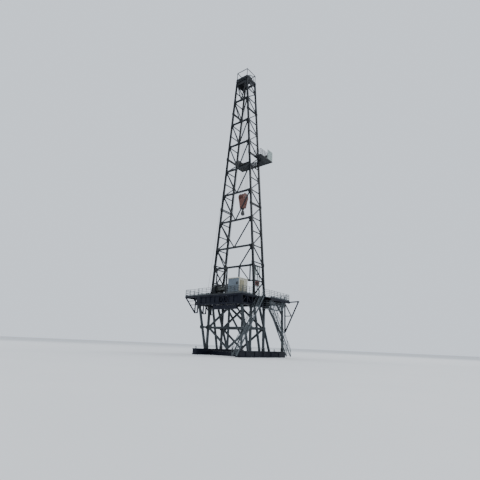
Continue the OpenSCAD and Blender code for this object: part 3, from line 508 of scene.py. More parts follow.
def weathered_paint(name, paint, rust, chips=0.64, gloss=0.42, dust=0.2, chalk=0.03, sheen=0.15,
                    beyond=None):
    """Shop paint on rolled steel: chalked in patches, streaked by rain, chipped to rust, dusty on top."""
    tree, place = new_material(name)
    colour = (*paint, 1.0)
    if beyond:
        # The steel past a distance along X takes the other colour, which on the windwall is painted sky
        # light
        limit, other = beyond
        along = add(tree, "SeparateXYZ", {0: place})
        share = add(tree, "Math", {0: along, 1: limit}, operation="GREATER_THAN")
        colour = add(tree, "Mix", {0: share, 6: colour, 7: (*other, 1.0)}, data_type="RGBA")
    # Chalked patches about 300 mm across
    patch = add(tree, "TexNoise", {"Vector": place, "Scale": 3.3, "Detail": 4.0, "Roughness": 0.6})
    chalked = add(tree, "MapRange", {"Value": patch, "From Min": 0.35, "From Max": 0.7, "To Max": chalk})
    # Rain streaks about 12 mm wide that run down the steel
    tall = add(tree, "Mapping", {"Vector": place, "Scale": (1.0, 1.0, 0.08)})
    streak = add(tree, "TexNoise", {"Vector": tall, "Scale": 80.0, "Detail": 3.0})
    streaked = add(tree, "MapRange", {"Value": streak, "From Min": 0.52, "From Max": 0.75, "To Max": 0.3})
    # Chips about 8 mm across where the steel has rusted
    chip = add(tree, "TexNoise", {"Vector": place, "Scale": 60.0, "Detail": 6.0, "Roughness": 0.7})
    chipped = add(tree, "MapRange", {"Value": chip, "From Min": chips, "From Max": chips + 0.05})
    # Dust that settles on faces that look up
    up = add(tree, "SeparateXYZ", {0: add(tree, "NewGeometry").outputs["Normal"]}).outputs["Z"]
    settled = add(tree, "MapRange", {"Value": up, "From Min": 0.5, "To Max": dust})
    for share, over in ((chalked, "c4c9cc"), (streaked, rust), (chipped, rust), (settled, "8d867a")):
        colour = add(tree, "Mix", {0: share, 6: colour, 7: linear(over)}, data_type="RGBA")
    rough = add(tree, "MapRange", {"Value": chipped, "To Min": gloss, "To Max": 0.85})
    # Orange-peel grain 2.5 mm across, at full size so that it shows, with the chips cut into it
    grain = add(tree, "TexNoise", {"Vector": place, "Scale": 400.0, "Detail": 2.0})
    height = add(tree, "Math", {0: chipped, 1: -1.0, 2: grain}, operation="MULTIPLY_ADD")
    bump = add(tree, "Bump", {"Strength": 0.25, "Distance": 0.0008, "Height": height})
    # Chalked enamel reflects less than fresh
    return finish_surface(tree, {"Base Color": colour, "Roughness": rough, "Normal": bump,
                                 "Specular IOR Level": sheen})


def galvanised(name, light, dark, dull, metallic):
    """Hot-dip galvanised steel: a crystal pattern in the zinc, dulled and darkened by weather."""
    tree, place = new_material(name)
    # Spangles about 9 mm across, at full size so that they show
    spangle = add(tree, "TexVoronoi", {"Vector": place, "Scale": 110.0})
    shade = add(tree, "SeparateColor", {0: spangle.outputs["Color"]})
    # Dull patches about 110 mm across
    patch = add(tree, "TexNoise", {"Vector": place, "Scale": 9.0, "Detail": 5.0})
    dulled = add(tree, "MapRange", {"Value": patch, "From Min": 0.45, "From Max": 0.75})
    colour = linear(dark)
    for share, over in ((shade, light), (dulled, dull)):
        colour = add(tree, "Mix", {0: share, 6: colour, 7: linear(over)}, data_type="RGBA")
    rough = add(tree, "MapRange", {"Value": dulled, "To Min": 0.42, "To Max": 0.7})
    bump = add(tree, "Bump", {"Strength": 0.15, "Distance": 0.0005, "Height": shade})
    finish_surface(tree, {"Base Color": colour, "Roughness": rough, "Normal": bump, "Metallic": metallic})


def machined_steel():
    """Bare machined steel: fine tool marks under oil, with brown stains where the oil has gone."""
    tree, place = new_material(BARE)
    # Stains about 20 mm across
    stain = add(tree, "TexNoise", {"Vector": place, "Scale": 45.0, "Detail": 5.0})
    share = add(tree, "MapRange", {"Value": stain, "From Min": 0.5, "From Max": 0.7})
    colour = add(tree, "Mix", {0: share, 6: linear("55595c"), 7: linear("443831")}, data_type="RGBA")
    # Tool marks 2 mm apart, coarser than real ones so that they show
    marks = add(tree, "TexNoise", {"Vector": place, "Scale": 500.0, "Detail": 2.0})
    rough = add(tree, "MapRange", {"Value": marks, "To Min": 0.28, "To Max": 0.55})
    bump = add(tree, "Bump", {"Strength": 0.15, "Distance": 0.0004, "Height": marks})
    finish_surface(tree, {"Base Color": colour, "Roughness": rough, "Normal": bump, "Metallic": 0.85})


def wire_rope():
    """Greased steel wire rope: worn grey strands, darkened by grease in stretches about 25 mm long."""
    tree, place = new_material(ROPE)
    wear = add(tree, "TexNoise", {"Vector": place, "Scale": 40.0, "Detail": 4.0})
    greased = add(tree, "MapRange", {"Value": wear, "From Min": 0.4, "From Max": 0.65})
    colour = add(tree, "Mix", {0: greased, 6: linear("5f6261"), 7: linear("333231")}, data_type="RGBA")
    rough = add(tree, "MapRange", {"Value": greased, "To Min": 0.45, "To Max": 0.3})
    finish_surface(tree, {"Base Color": colour, "Roughness": rough, "Metallic": 0.7})


def tinted_glass():
    """Tinted safety glass: dark and smooth, with a faint film of dust in patches about 40 mm across."""
    tree, place = new_material(GLASS)
    film = add(tree, "TexNoise", {"Vector": place, "Scale": 25.0, "Detail": 5.0})
    share = add(tree, "MapRange", {"Value": film, "From Min": 0.4, "From Max": 0.8})
    colour = add(tree, "Mix", {0: share, 6: linear("1f2a31"), 7: linear("3b464e")}, data_type="RGBA")
    rough = add(tree, "MapRange", {"Value": share, "To Min": 0.04, "To Max": 0.22})
    finish_surface(tree, {"Base Color": colour, "Roughness": rough, "IOR": 1.52,
                          "Transmission Weight": 0.25})


def chequer_plate():
    """Chequered floor plate: painted steel with raised bars in two directions, worn where feet go."""
    shader = weathered_paint(CHEQUER, linear("2b3134")[:3], "4a3a30", 0.6, 0.5, 0.25, 0.06)
    tree = shader.id_data
    place = add(tree, "TexCoord").outputs["Object"]
    # Bars 12 mm apart, drawn coarser than at one tenth of full size so that they show
    heights = []
    for turn in (math.radians(45), math.radians(-45)):
        laid = add(tree, "Mapping", {"Vector": place, "Rotation": (0.0, 0.0, turn)})
        wave = add(tree, "TexWave", {"Vector": laid, "Scale": 26.0}).outputs["Fac"]
        heights.append(add(tree, "MapRange", {"Value": wave, "From Min": 0.75, "From Max": 0.95}))
    height = add(tree, "Math", dict(enumerate(heights)), operation="MAXIMUM")
    under = shader.inputs["Normal"].links[0].from_socket
    bump = add(tree, "Bump", {"Strength": 0.5, "Distance": 0.001, "Height": height, "Normal": under})
    tree.links.new(bump.outputs["Normal"], shader.inputs["Normal"])


def studio_floor():
    """Matt studio floor: plain pale vinyl, its tone uneven over half a metre."""
    tree, place = new_material(VINYL)
    grain = add(tree, "TexNoise", {"Vector": place, "Scale": 2.0, "Detail": 3.0})
    colour = add(tree, "Mix", {0: grain, 6: linear("d3d4d5"), 7: linear("dadbdb")}, data_type="RGBA")
    finish_surface(tree, {"Base Color": colour, "Roughness": 0.8})


def length_property(name, words, default):
    """A length that the panel shows."""
    return bpy.props.FloatProperty(name=name, description=words, default=default, unit="LENGTH")


def paint_property(name, words, code):
    """A colour that the panel shows."""
    return bpy.props.FloatVectorProperty(name=name, description=words, subtype="COLOR", size=3,
                                         default=linear(code)[:3], min=0.0, max=1.0)


class RigSizes(bpy.types.PropertyGroup):
    """Sizes of the added steelwork."""
    rope_diameter: length_property("Rope diameter", "Diameter of the drilling line", 0.0034)
    strand_lay: length_property("Strand lay", "Length of rope in which a strand goes round once", 0.12)
    pin_radius: length_property("Pin radius", "Radius of the pins in the mast's splices", 0.0045)
    rib_pitch: length_property("Rib pitch", "Distance between the ribs of the windwall and the cabin", 0.018)


class RigPaints(bpy.types.PropertyGroup):
    """Colours of the rig's paints."""
    mast: paint_property("Mast", "Enamel of the mast and its crown", "12171c")
    floor: paint_property("Floor frame", "Enamel of the floor boxes and the base boxes", "0b0f1b")
    truss: paint_property("Rear truss", "Enamel of the rear floor truss and the beam below it", "0a0f1c")
    struts: paint_property("Struts", "Enamel of the substructure's posts and struts", "30373b")
    block: paint_property("Block", "Paint of the travelling block", "6b4840")
    winch: paint_property("Winch", "Enamel of the small winch", "7c2b26")
    # The cabin's walls in blue-grey, painted shade on its cream enamel
    cabin: paint_property("Cabin", "Enamel of the cabin's walls", "535e68")
    trim: paint_property("Cabin side", "Enamel of the cabin's side panels and roof", "aca99b")
    door: paint_property("Door", "Enamel of the cabin's door", "87826b")
    # On the windwall's far sheet this pale green is painted sky light
    sheet: paint_property("Sheets", "Paint of the pale sheets and the winch stand", "8f9a97")


class RigLook(bpy.types.PropertyGroup):
    """Light and floor round the rig."""
    floor_radius: length_property("Floor radius", "Radius of the studio floor", 60.0)
    sky: paint_property("Studio light", "Colour of the light from all round", "d6dee8")
    sky_strength: bpy.props.FloatProperty(
        name="Light strength", description="Strength of the light from all round", default=1.35)


class RIG_OT_finishes(bpy.types.Operator):
    """Make the finishes and paint the rig's main steelwork with them"""
    bl_idname = "rig.finishes"
    bl_label = "Finishes"

    def execute(self, context):
        paints = context.scene.rig_paints
        for finish, paint, *wear in (
                # Slate-grey alkyd enamel on rolled sections, chalked by sun, a little rust at chips
                (SLATE, paints.mast, "3f332b", 0.67, 0.42, 0.1, 0.02),
                # Navy enamel on the floor and base beams, and fresher blue on the rear truss
                (NAVY, paints.floor, "2e2824", 0.67, 0.42, 0.08, 0.02, 0.1),
                (TRUSS_BLUE, paints.truss, "2e2824", 0.68, 0.4, 0.08, 0.02, 0.1),
                # Worn grey enamel on the posts and struts under the floor
                (STRUT_GREY, paints.struts, "4a3c33", 0.64, 0.48, 0.14, 0.05),
                # Lead-brown paint on the travelling block, rusted through in patches
                (BLOCK_BROWN, paints.block, "6b4636", 0.58, 0.6, 0.12, 0.04),
                # Red oxide enamel on the small winch
                (WINCH_RED, paints.winch, "4c3025", 0.64, 0.45, 0.2, 0.05),
                # Blue-grey, cream and pale brown enamel on pressed cabin sheet, kept clean; the blue-grey is
                # painted shade on the cream walls
                (CABIN_PAINTED_SHADE, paints.cabin, "6d5f52", 0.74, 0.4, 0.25, 0.06, 0.3),
                (CREAM, paints.trim, "85745f", 0.74, 0.42, 0.2, 0.15, 0.3),
                (DOOR_BROWN, paints.door, "6a5844", 0.74, 0.42, 0.15, 0.1, 0.3),
                # Pale green paint on the winch stand and thin ribbed sheet, and slate paint on the sheets
                # beside it; on the windwall's far sheet the pale green is painted sky light
                (PALE_GREEN_AND_PAINTED_SKY_LIGHT, paints.sheet, "74634f", 0.7, 0.5, 0.12, 0.2, 0.3),
                (WINDWALL_SLATE_AND_SKY_LIGHT, paints.mast, "4a3c33", 0.7, 0.5, 0.1, 0.02, 0.2, (SKY_LIGHT_FROM_X, paints.sheet)),
                # Black oxide and old grease on cast steel
                (CAST, linear("1f2124")[:3], "41342b", 0.64, 0.38, 0.1, 0.02)):
            weathered_paint(finish, paint, *wear)
        # Zinc on the railings, and older zinc darkened by boots and mud on the stairs and walkways
        galvanised(ZINC, "4a5053", "3b4043", "373c3e", 0.25)
        galvanised(STAIR_ZINC, "50575b", "41484c", "3b4144", 0.35)
        galvanised(DECK_ZINC, "45494c", "363b3e", "2f3335", 0.4)
        machined_steel()
        wire_rope()
        tinted_glass()
        chequer_plate()
        for name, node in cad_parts.items():
            finish = next(finish for start, finish in NODE_FINISHES if name.startswith(start))
            node.data.materials.clear()
            node.data.materials.append(bpy.data.materials[finish])
        return {"FINISHED"}


class RIG_OT_drilling_line(bpy.types.Operator):
    """Reeve the drilling line between the crown and the travelling block"""
    bl_idname = "rig.drilling_line"
    bl_label = "Drilling line"

    def execute(self, context):
        sizes = context.scene.rig_sizes
        rise = (CROWN_Z - BLOCK_Z) / FALL_RINGS
        rope = begin("drilling_line_falls", bpy.ops.mesh.primitive_circle_add, vertices=12,
                     radius=sizes.rope_diameter / 2, fill_type="NOTHING")
        # Every other point pulled in gives the six strands
        for i, point in enumerate(bmesh.from_edit_mesh(rope.data).verts):
            if i % 2:
                point.co *= STRAND_VALLEY
        bmesh.update_edit_mesh(rope.data)
        for ring in range(FALL_RINGS):
            wind_on(rise, math.tau * rise / sizes.strand_lay)
        close_tube()
        places = [at(x, WELL_Y + side * ROPE_SIDE, BLOCK_Z) for x in SHEAVE_X for side in SIDES]
        falls = dress(rope, ROPE, places, smooth=True)
        falls.parent = None
        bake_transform(falls)
        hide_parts("drilling_lines")
        return {"FINISHED"}


class RIG_OT_splices(bpy.types.Operator):
    """Add the cheek plates, bolts and foot pins that join the mast's sections"""
    bl_idname = "rig.splices"
    bl_label = "Mast splices and foot pins"

    def execute(self, context):
        spots = [leg_place(side, y, z, y > 0) for z in SPLICES for side in SIDES for y in (0.0, MAST_DEPTH)]
        # Cheek plate with clipped corners over both end plates
        cheek = begin_block("splice_cheeks", (-0.015, 0.0208, -0.032), (0.015, 0.0250, 0.032))
        bevel_edges(0.007, "y", 2)
        dress(cheek, SLATE, spots)
        # Two pins through the cheek and the leg's web, each with a chamfered head
        radius = context.scene.rig_sizes.pin_radius
        pin = begin_round("splice_pins", (0, -0.004, 0), (0, 0.028, 0), radius)
        pick_side(0, 1, 0)
        inset(radius * 0.3, 0.0012)
        dress(pin, BARE, every(spots, [at(0, 0, z) for z in (-0.02, 0.02)]), smooth=True)
        # Bolts through the rims of the end plates, beside the flanges
        rim = [at(x, y, 0, turn, "X")
               for x in (-0.018, 0.018) for y in (-0.011, 0.011) for turn in (0, math.pi)]
        bolts("splice_bolts", (0, 0, 0.0082), (0, 0, 1), 0.0026, 0.003, every(spots, rim))
        # Pin through the cheeks of each mast shoe
        pin = collared_pin("mast_foot_pins", (0, 1, 0), 0.0212, radius * 1.8, 20, 1.5, 0.005, 0.0015)
        feet = [at(side * MAST_FOOT_HALF, y, FLOOR_Z + 0.03) for side in SIDES for y in (0.0, MAST_DEPTH)]
        dress(pin, BARE, feet, smooth=True)
        return {"FINISHED"}


class RIG_OT_gussets(bpy.types.Operator):
    """Add the gusset plates at the joints of the mast's side trusses and back beams"""
    bl_idname = "rig.gussets"
    bl_label = "Gussets"

    def execute(self, context):
        # Plate flat on the braces inside the leg's channel, cut back at its two outer corners
        plate = begin_block("side_gussets", (0.0068, 0.003, -0.036), (0.0093, 0.048, 0.036))
        bevel_edges(0.022, "x", where=lambda middle: middle.y > 0.03)
        bars = [(LEVELS[k] + LEVELS[k + 1]) / 2 for k in (0, 2, 4, 6, 8)]
        spots = [leg_place(side, 0.0, z) for side in SIDES for z in LEVELS[1:]]
        spots += [leg_place(side, MAST_DEPTH, z, False) for side in SIDES for z in bars]
        dress(plate, SLATE, every(spots, [at(0, 0, 0), at(-0.0161, 0, 0)]))
        # End plates on the back beams
        end = begin_block("back_beam_ends", (-0.034, -0.0166, -0.019), (0.012, -0.0138, 0.019))
        bevel_edges(0.005, "y", 2)
        spots = [at(side * (half_width(z) - 0.0285), 0, z, 0.0 if side > 0 else math.pi, "Y")
                 for z in LEVELS[1:] for side in SIDES]
        dress(end, SLATE, spots)
        grid = [at(x, 0, z) for x in (-0.027, -0.013, 0.001) for z in (-0.009, 0.009)]
        bolts("back_beam_bolts", (0, -0.0166, 0), (0, -1, 0), 0.003, 0.0026, every(spots, grid))
        # Splice plates in the middle of the back beams, where the two halves of a V meet
        plate = begin_block("back_beam_splices", (-0.045, -0.0164, -0.010), (0.045, -0.0138, 0.010))
        bevel_edges(0.004, "y", 2)
        dress(plate, SLATE, [at(0, 0, z) for z in LEVELS[2:-1]])
        return {"FINISHED"}


class RIG_OT_crown(bpy.types.Operator):
    """Add the crown's rope guards, bearing caps and plate bolts"""
    bl_idname = "rig.crown"
    bl_label = "Crown trim"

    def execute(self, context):
        # Flat bar bent over the sheaves, standing on the bearing beams
        hoop = begin_tube("crown_hoops", CROWN_GUARD_R, 0.009, 48, location=(0, WELL_Y, CROWN_Z),
                          rotation=(0, QUARTER, 0))
        drop_faces(lambda middle, normal: middle.z < CROWN_Z)
        pick_edges(lambda middle, along: abs(along.x) > 0.9 and middle.z < CROWN_Z + 0.001)
        bpy.ops.mesh.extrude_edges_move(TRANSFORM_OT_translate={"value": (0, 0, CROWN_BEAM_Z - CROWN_Z)})
        apply_modifier(hoop, "SOLIDIFY", thickness=0.003, offset=1.0)
        hoops = copies(hoop, [at(-BEARING_X, 0, 0), at(BEARING_X, 0, 0)])
        # Round bars from hoop to hoop keep a slack rope in its groove
        bar = begin_round("crown_guard_bars", (-BEARING_X - 0.006, 0, CROWN_GUARD_R),
                          (BEARING_X + 0.006, 0, CROWN_GUARD_R), 0.003, 12)
        bevel_ends(0.0008)
        bars = copies(bar, [at(0, WELL_Y, CROWN_Z, math.radians(a), "X") for a in (-66, -33, 0, 33, 66)])
        dress(joined("crown_rope_guards", [hoops, bars]), SLATE, smooth=True)
        # Flanged caps over the shaft's ends
        cap = begin_round("crown_shaft_caps", (0.005, 0, 0), (0.010, 0, 0), 0.021, 32)
        pick_side(1, 0, 0)
        inset(0.008)
        raise_by(0.006, 0, 0)
        inset(0.003, 0.0015)
        spots = both_ends(-BEARING_X, BEARING_X, WELL_Y, CROWN_Z)
        dress(cap, CAST, spots, smooth=True)
        bolts("crown_shaft_bolts", (0.010, 0, 0.017), (1, 0, 0), 0.0021, 0.002, every(spots, round_about(6)))
        # Rows of bolts on the plate below the crown
        rows = [at(x * 0.026, 0, LEVELS[-1] - drop) for x in range(-3, 4) for drop in (0.072, 0.03)]
        bolts("crown_plate_bolts", (0, -0.0021, 0), (0, -1, 0), 0.0022, 0.002, rows)
        return {"FINISHED"}


class RIG_OT_block_trim(bpy.types.Operator):
    """Add the travelling block's rims, ribs, nuts and bolts, and the hook's latch and spring"""
    bl_idname = "rig.block_trim"
    bl_label = "Block and hook trim"

    def execute(self, context):
        spots = both_ends(-BLOCK_HALF, BLOCK_HALF, WELL_Y, BLOCK_Z)
        # Rim welded round the round head of each cheek
        rim = begin_round("block_rims", (-0.0005, 0, 0), (0.0035, 0, 0), 0.0795, 64)
        pick_side(1, 0, 0)
        field(0.008, -0.0028)
        dress(rim, BLOCK_BROWN, spots, "block", smooth=True)
        # Two ribs down each cheek, drawn in towards the foot
        rib = begin_block("block_ribs", (-0.0005, -0.0045, -0.165), (0.0065, 0.0045, -0.035))
        pick_side(1, 0, 0)
        scale_by((1, 0.45, 0.94), (0, 0, -0.1))
        pair = [at(0, way * 0.034, 0, -way * 0.11, "X") for way in SIDES]
        dress(rib, BLOCK_BROWN, every(spots, pair), "block")
        # Guard plates between the cheeks, below the falls, with a pressed field
        guard = begin_block("block_guards", (-0.0505, -0.0015, -0.091), (0.0505, 0.0015, 0.091))
        bevel_edges(0.0008)
        pick_side(0, 1, 0)
        field(0.008, 0.0015, 0.0015)
        slope = at(0, 0.0455, -0.1258, -0.2583, "X")
        places = [at(0, WELL_Y, BLOCK_Z, turn) @ slope for turn in (0, math.pi)]
        dress(guard, BLOCK_BROWN, places, "block")
        # Hexagon nut on its washer round each end of the shaft
        washer = begin_round("block_washer", (-0.0005, 0, 0), (0.0042, 0, 0), 0.026, 32)
        bevel_ends(0.0008)
        nut = begin_round("block_nut", (0.004, 0, 0), (0.0072, 0, 0), 0.021, 6)
        bevel_ends(0.0008)
        dress(joined("block_shaft_nuts", [washer, nut]), BARE, spots, "block", smooth=True)
        bolts("block_rim_bolts", (0.0034, 0, 0.0755), (1, 0, 0), 0.0034, 0.003,
              every(spots, round_about(10, start=0.5)), BARE, "block")
        rows = [at(0, y, z) for y in (-0.013, 0.013) for z in (-0.203, -0.191, -0.179)]
        bolts("block_foot_bolts", (0, 0, 0), (1, 0, 0), 0.0036, 0.0034, every(spots, rows), BARE, "block")
        # The hook's spring between the block and the hook's body
        top = BLOCK_Z - BLOCK_DROP
        coil = winding("hook_spring", 0.0205, 0.0044, 0.0052, 5, 28, 8)
        dress(coil, BARE, [at(0, WELL_Y, top - 0.030)], "block", smooth=True)
        # Latch across the hook's throat, thinned towards its tip
        latch = begin_block("hook_latch", (-0.0105, WELL_Y + 0.019, top - 0.088),
                            (0.0105, WELL_Y + 0.026, top - 0.058))
        pick_side(0, 0, -1)
        raise_by(0, 0.006, -0.012)
        scale_by((0.7, 0.6, 1), (0, WELL_Y + 0.028, top - 0.1))
        bevel_edges(0.0012)
        dress(latch, BARE, body="block")
        return {"FINISHED"}


class RIG_OT_drawworks(bpy.types.Operator):
    """Wind the line on the drawworks drum and add its brake bands, covers and louvres"""
    bl_idname = "rig.drawworks"
    bl_label = "Drawworks"

    def execute(self, context):
        rope = context.scene.rig_sizes.rope_diameter
        line = winding("drum_windings", DRUM_R + rope * 0.45, rope, rope * 1.04, 49)
        dress(line, ROPE, [at(-0.1035, DRAW_Y, DRAW_Z, QUARTER, "Y")], smooth=True)
        # Brake bands round three quarters of the flanges
        band = begin_tube("brake_bands", 0.0585, 0.009, 48, rotation=(0, QUARTER, 0))
        drop_faces(lambda middle, normal: middle.y > 0.02 and middle.z < 0.02)
        apply_modifier(band, "SOLIDIFY", thickness=0.0025, offset=1.0)
        dress(band, CAST, [at(x, DRAW_Y, DRAW_Z) for x in (-0.109, 0.077)], smooth=True)
        # Bolted covers on the outer sides of the housings
        spots = both_ends(-0.175, 0.145, DRAW_Y, DRAW_Z)
        cover = begin_round("drawworks_covers", (-0.0005, 0, 0), (0.005, 0, 0), 0.05, 40)
        pick_side(1, 0, 0)
        field(0.012, 0.003, 0.003)
        field(0.012, -0.002, 0.003)
        dress(cover, SLATE, spots, smooth=True)
        bolts("drawworks_bolts", (0.005, 0, 0.044), (1, 0, 0), 0.0024, 0.0022, every(spots, round_about(12)))
        # Louvres in the fronts and backs of the two housings
        slat = begin_block("drawworks_louvres", (-0.021, -0.0015, -0.0035), (0.021, 0.0035, 0.0035))
        bevel_edges(0.0015, "x", where=lambda middle: middle.y > 0.002)
        places = [at(x, DRAW_Y + way * 0.084, FLOOR_Z + 0.03 + 0.012 * k, 0.0 if way > 0 else math.pi)
                  @ Matrix.Rotation(math.radians(-18), 4, "X")
                  for x in HOUSING_X for way in SIDES for k in range(7)]
        dress(slat, SLATE, places)
        return {"FINISHED"}


class RIG_OT_small_winch(bpy.types.Operator):
    """Wind the small winch and the deadline anchor, and give the winch its motor and guard"""
    bl_idname = "rig.small_winch"
    bl_label = "Small winch and anchor"

    def execute(self, context):
        line = winding("winch_windings", 0.0249, 0.0026, 0.0027, 23)
        dress(line, ROPE, [at(WINCH_X, WINCH_Y + 0.0315, WINCH_Z, QUARTER, "X")], smooth=True)
        # Motor in three steps on the drum's front end
        front = WINCH_Y + 0.044
        motor = begin_round("winch_motor", (WINCH_X, front, WINCH_Z),
                            (WINCH_X, front + 0.008, WINCH_Z), 0.0185, 24)
        pick_side(0, 1, 0)
        inset(0.003)
        raise_by(0, 0.009, 0)
        inset(0.002, 0.002)
        inset(0.006)
        raise_by(0, 0.004, 0)
        dress(motor, WINCH_RED, smooth=True)
        # Line guard over the drum, between the side plates
        guard = begin_tube("winch_guard", 0.031, 0.064, 36, location=(WINCH_X, WINCH_Y, WINCH_Z),
                           rotation=(QUARTER, 0, 0))
        drop_faces(lambda middle, normal: normal.z < 0.35 or normal.x < -0.45)
        apply_modifier(guard, "SOLIDIFY", thickness=0.0018, offset=0.0)
        dress(guard, WINCH_RED, smooth=True)
        # Turns of the deadline round its anchor, and a nut at each of its ends
        line = winding("anchor_windings", 0.0216, 0.0034, 0.0036, 9)
        dress(line, ROPE, [at(ANCHOR_X - 0.0165, ANCHOR_Y, ANCHOR_Z, QUARTER, "Y")], smooth=True)
        nut = begin_round("anchor_nuts", (0.0248, 0, 0), (0.031, 0, 0), 0.014, 6)
        bevel_ends(0.001)
        dress(nut, BARE, both_ends(ANCHOR_X, ANCHOR_X, ANCHOR_Y, ANCHOR_Z))
        return {"FINISHED"}


class RIG_OT_cabin_trim(bpy.types.Operator):
    """Add the cabin's panels, ribs, window and door frames, door and roof edge"""
    bl_idname = "rig.cabin_trim"
    bl_label = "Cabin trim"

    def execute(self, context):
        pitch = context.scene.rig_sizes.rib_pitch
        low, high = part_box("cabin_walls")
        # Pressed ribs on the rear, left and front walls, clear of the windows, in the walls' blue-grey of
        # painted shade
        rib = begin_block("cabin_ribs", (-0.003, -0.0024, low.z + 0.008), (0.003, 0.0004, high.z - 0.006))
        pick_side(0, -1, 0)
        scale_by((0.5, 1, 0.985), (0, 0, (low.z + high.z) / 2))
        places = [at(x, low.y, 0) for x in spread(low.x + 0.018, low.x + 0.145, pitch)]
        places += [at(low.x, y, 0, -QUARTER)
                   for y in (low.y + 0.012, low.y + 0.024, high.y - 0.022, high.y - 0.01)]
        places += [at(x, high.y, 0, math.pi) for x in (low.x + 0.014, high.x - 0.014)]
        dress(rib, CABIN_PAINTED_SHADE, places)
        # Cream panels with pressed fields on the right wall, around the doorway
        panels = []
        for y0, y1, z0 in ((low.y, low.y + 0.024, low.z), (low.y + 0.096, low.y + 0.153, low.z),
                           (low.y + 0.155, high.y, low.z), (low.y + 0.026, low.y + 0.094, low.z + 0.197)):
            panels.append(begin_block("cabin_side_panel", (high.x - 0.0005, y0, z0),
                                      (high.x + 0.003, y1, high.z)))
            pick_side(1, 0, 0)
            field(0.005, -0.0012, 0.0015)
        dress(joined("cabin_side_panels", panels), CREAM)
        # Frames round the windows and the doorway
        frames = [wall_frame("frame_rear", at(0.350, low.y, 1.048, math.pi), 0.0155, 0.0165),
                  wall_frame("frame_left", at(low.x, -0.208, 1.038, QUARTER), 0.0725, 0.0365),
                  wall_frame("frame_front", at(0.277, high.y, 1.038), 0.0765, 0.0365)]
        dress(joined("cabin_window_frames", frames), BARE)
        jamb = wall_frame("cabin_door_frame", at(high.x + 0.0005, -0.257, 1.0005, -QUARTER), 0.0325, 0.094)
        dress(jamb, DOOR_BROWN)
        # Door ajar on its rear jamb: a leaf with two pressed fields on each side, a handle and hinges
        leaf = begin_block("door_leaf", (0, 0.001, 0.908), (0.004, 0.0645, 1.093))
        bpy.ops.mesh.bisect(plane_co=(0, 0, 1.0), plane_no=(0, 0, 1))
        for side in SIDES:
            for upper in (False, True):
                pick_faces(lambda middle, normal: normal.x * side > 0.9 and (middle.z > 1.0) == upper)
                field(0.007, -0.0012, 0.001)
        handle = begin_round("door_handle", (0.0035, 0.055, 0.985), (0.009, 0.055, 0.985), 0.0014, 10)
        pick_side(1, 0, 0)
        raise_by(0.003, 0, 0)
        pick_faces(lambda middle, normal: normal.y < -0.3 and middle.x > 0.009)
        raise_by(0, -0.012, 0)
        hinge = begin_round("door_hinge", (0.003, 0, 0.93), (0.003, 0, 0.942), 0.0022, 10)
        bevel_ends(0.0005)
        hinges = copies(hinge, [at(0, 0, z) for z in (0, 0.064, 0.128)])
        door = joined("cabin_door", [leaf, handle, hinges])
        dress(door, DOOR_BROWN, [at(high.x + 0.0045, -0.290, 0, math.radians(-25))])
        # Roof pan with a lip all round
        low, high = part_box("cabin_roof")
        roof = begin_block("cabin_roof_edge", low + Vector((-0.002, -0.002, 0.002)),
                           high + Vector((0.002, 0.002, 0.005)))
        pick_side(0, 0, 1)
        field(0.004, -0.004)
        dress(roof, CREAM)
        return {"FINISHED"}


class RIG_OT_board_trim(bpy.types.Operator):
    """Add the ribs of the racking board's sheets, its finger latches and its grating"""
    bl_idname = "rig.board_trim"
    bl_label = "Racking board trim"

    def execute(self, context):
        pitch = context.scene.rig_sizes.rib_pitch
        low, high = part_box("windwall")
        top = low.z + DARK_SHEET_H
        front, right = high.y - 0.002, high.x - 0.002
        # Ribs that show on both faces of a sheet, as pressing leaves them
        # The pale ribs take the windwall's pale green of painted sky light
        pale = [at(x, front, 0) for x in spread(SKY_LIGHT_FROM_X + 0.012, high.x - 0.008, pitch)]
        pale += [at(right, y, 0, QUARTER) for y in spread(high.y - 0.155, high.y - 0.012, pitch)]
        dark = [at(x, front, 0)
                for x in spread(low.x + 0.012, -0.108, pitch) + spread(0.138, SKY_LIGHT_FROM_X - 0.008, pitch)]
        dark += [at(low.x + 0.002, y, 0, QUARTER) for y in spread(low.y + 0.012, high.y - 0.012, pitch)]
        for name, rib_top, places, finish in (("windwall_ribs_in_painted_sky_light", high.z - 0.005, pale, PALE_GREEN_AND_PAINTED_SKY_LIGHT),
                                              ("windwall_dark_ribs", top - 0.005, dark, SLATE)):
            rib = begin_block(name, (-0.0032, -0.0038, low.z + 0.003), (0.0032, 0.0038, rib_top))
            for side in SIDES:
                pick_side(0, side, 0)
                scale_by((0.4, 1, 0.98), (0, 0, (low.z + rib_top) / 2))
            dress(rib, finish, places)
        # Rounded bars along the dark sheets' tops
        caps = []
        for x0, y0, x1, y1 in ((low.x - 0.001, front - 0.003, -0.1, front + 0.003),
                               (0.13, front - 0.003, SKY_LIGHT_FROM_X, front + 0.003),
                               (low.x - 0.001, low.y, low.x + 0.005, front)):
            caps.append(begin_block("windwall_cap", (x0, y0, top - 0.003), (x1, y1, top + 0.002)))
            bevel_edges(0.0012)
        dress(joined("windwall_caps", caps), SLATE)
        # Latches that stand open on the fingers, each on its pivot
        low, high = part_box("board_fingers")
        arm = begin_block("latch_arm", (-0.002, -0.0015, -0.0005), (0.002, 0.0015, 0.016))
        pick_side(0, 0, 1)
        raise_by(0, 0.004, 0.003)
        bevel_edges(0.0006)
        pivot = begin_round("latch_pivot", (-0.004, 0, 0.002), (0.004, 0, 0.002), 0.0018, 8)
        bevel_ends(0.0004)
        latch = joined("finger_latches", [arm, pivot])
        places = [at(side * x, y, high.z) for side in SIDES for x in (0.06, 0.1, 0.14, 0.18, 0.22)
                  for y in spread(low.y + 0.008, high.y - 0.008, 0.0352)]
        dress(latch, BARE, places)
        grating("board_grating", (0.367, 0.112), (0.432, 0.460), BOARD_TOP)
        return {"FINISHED"}


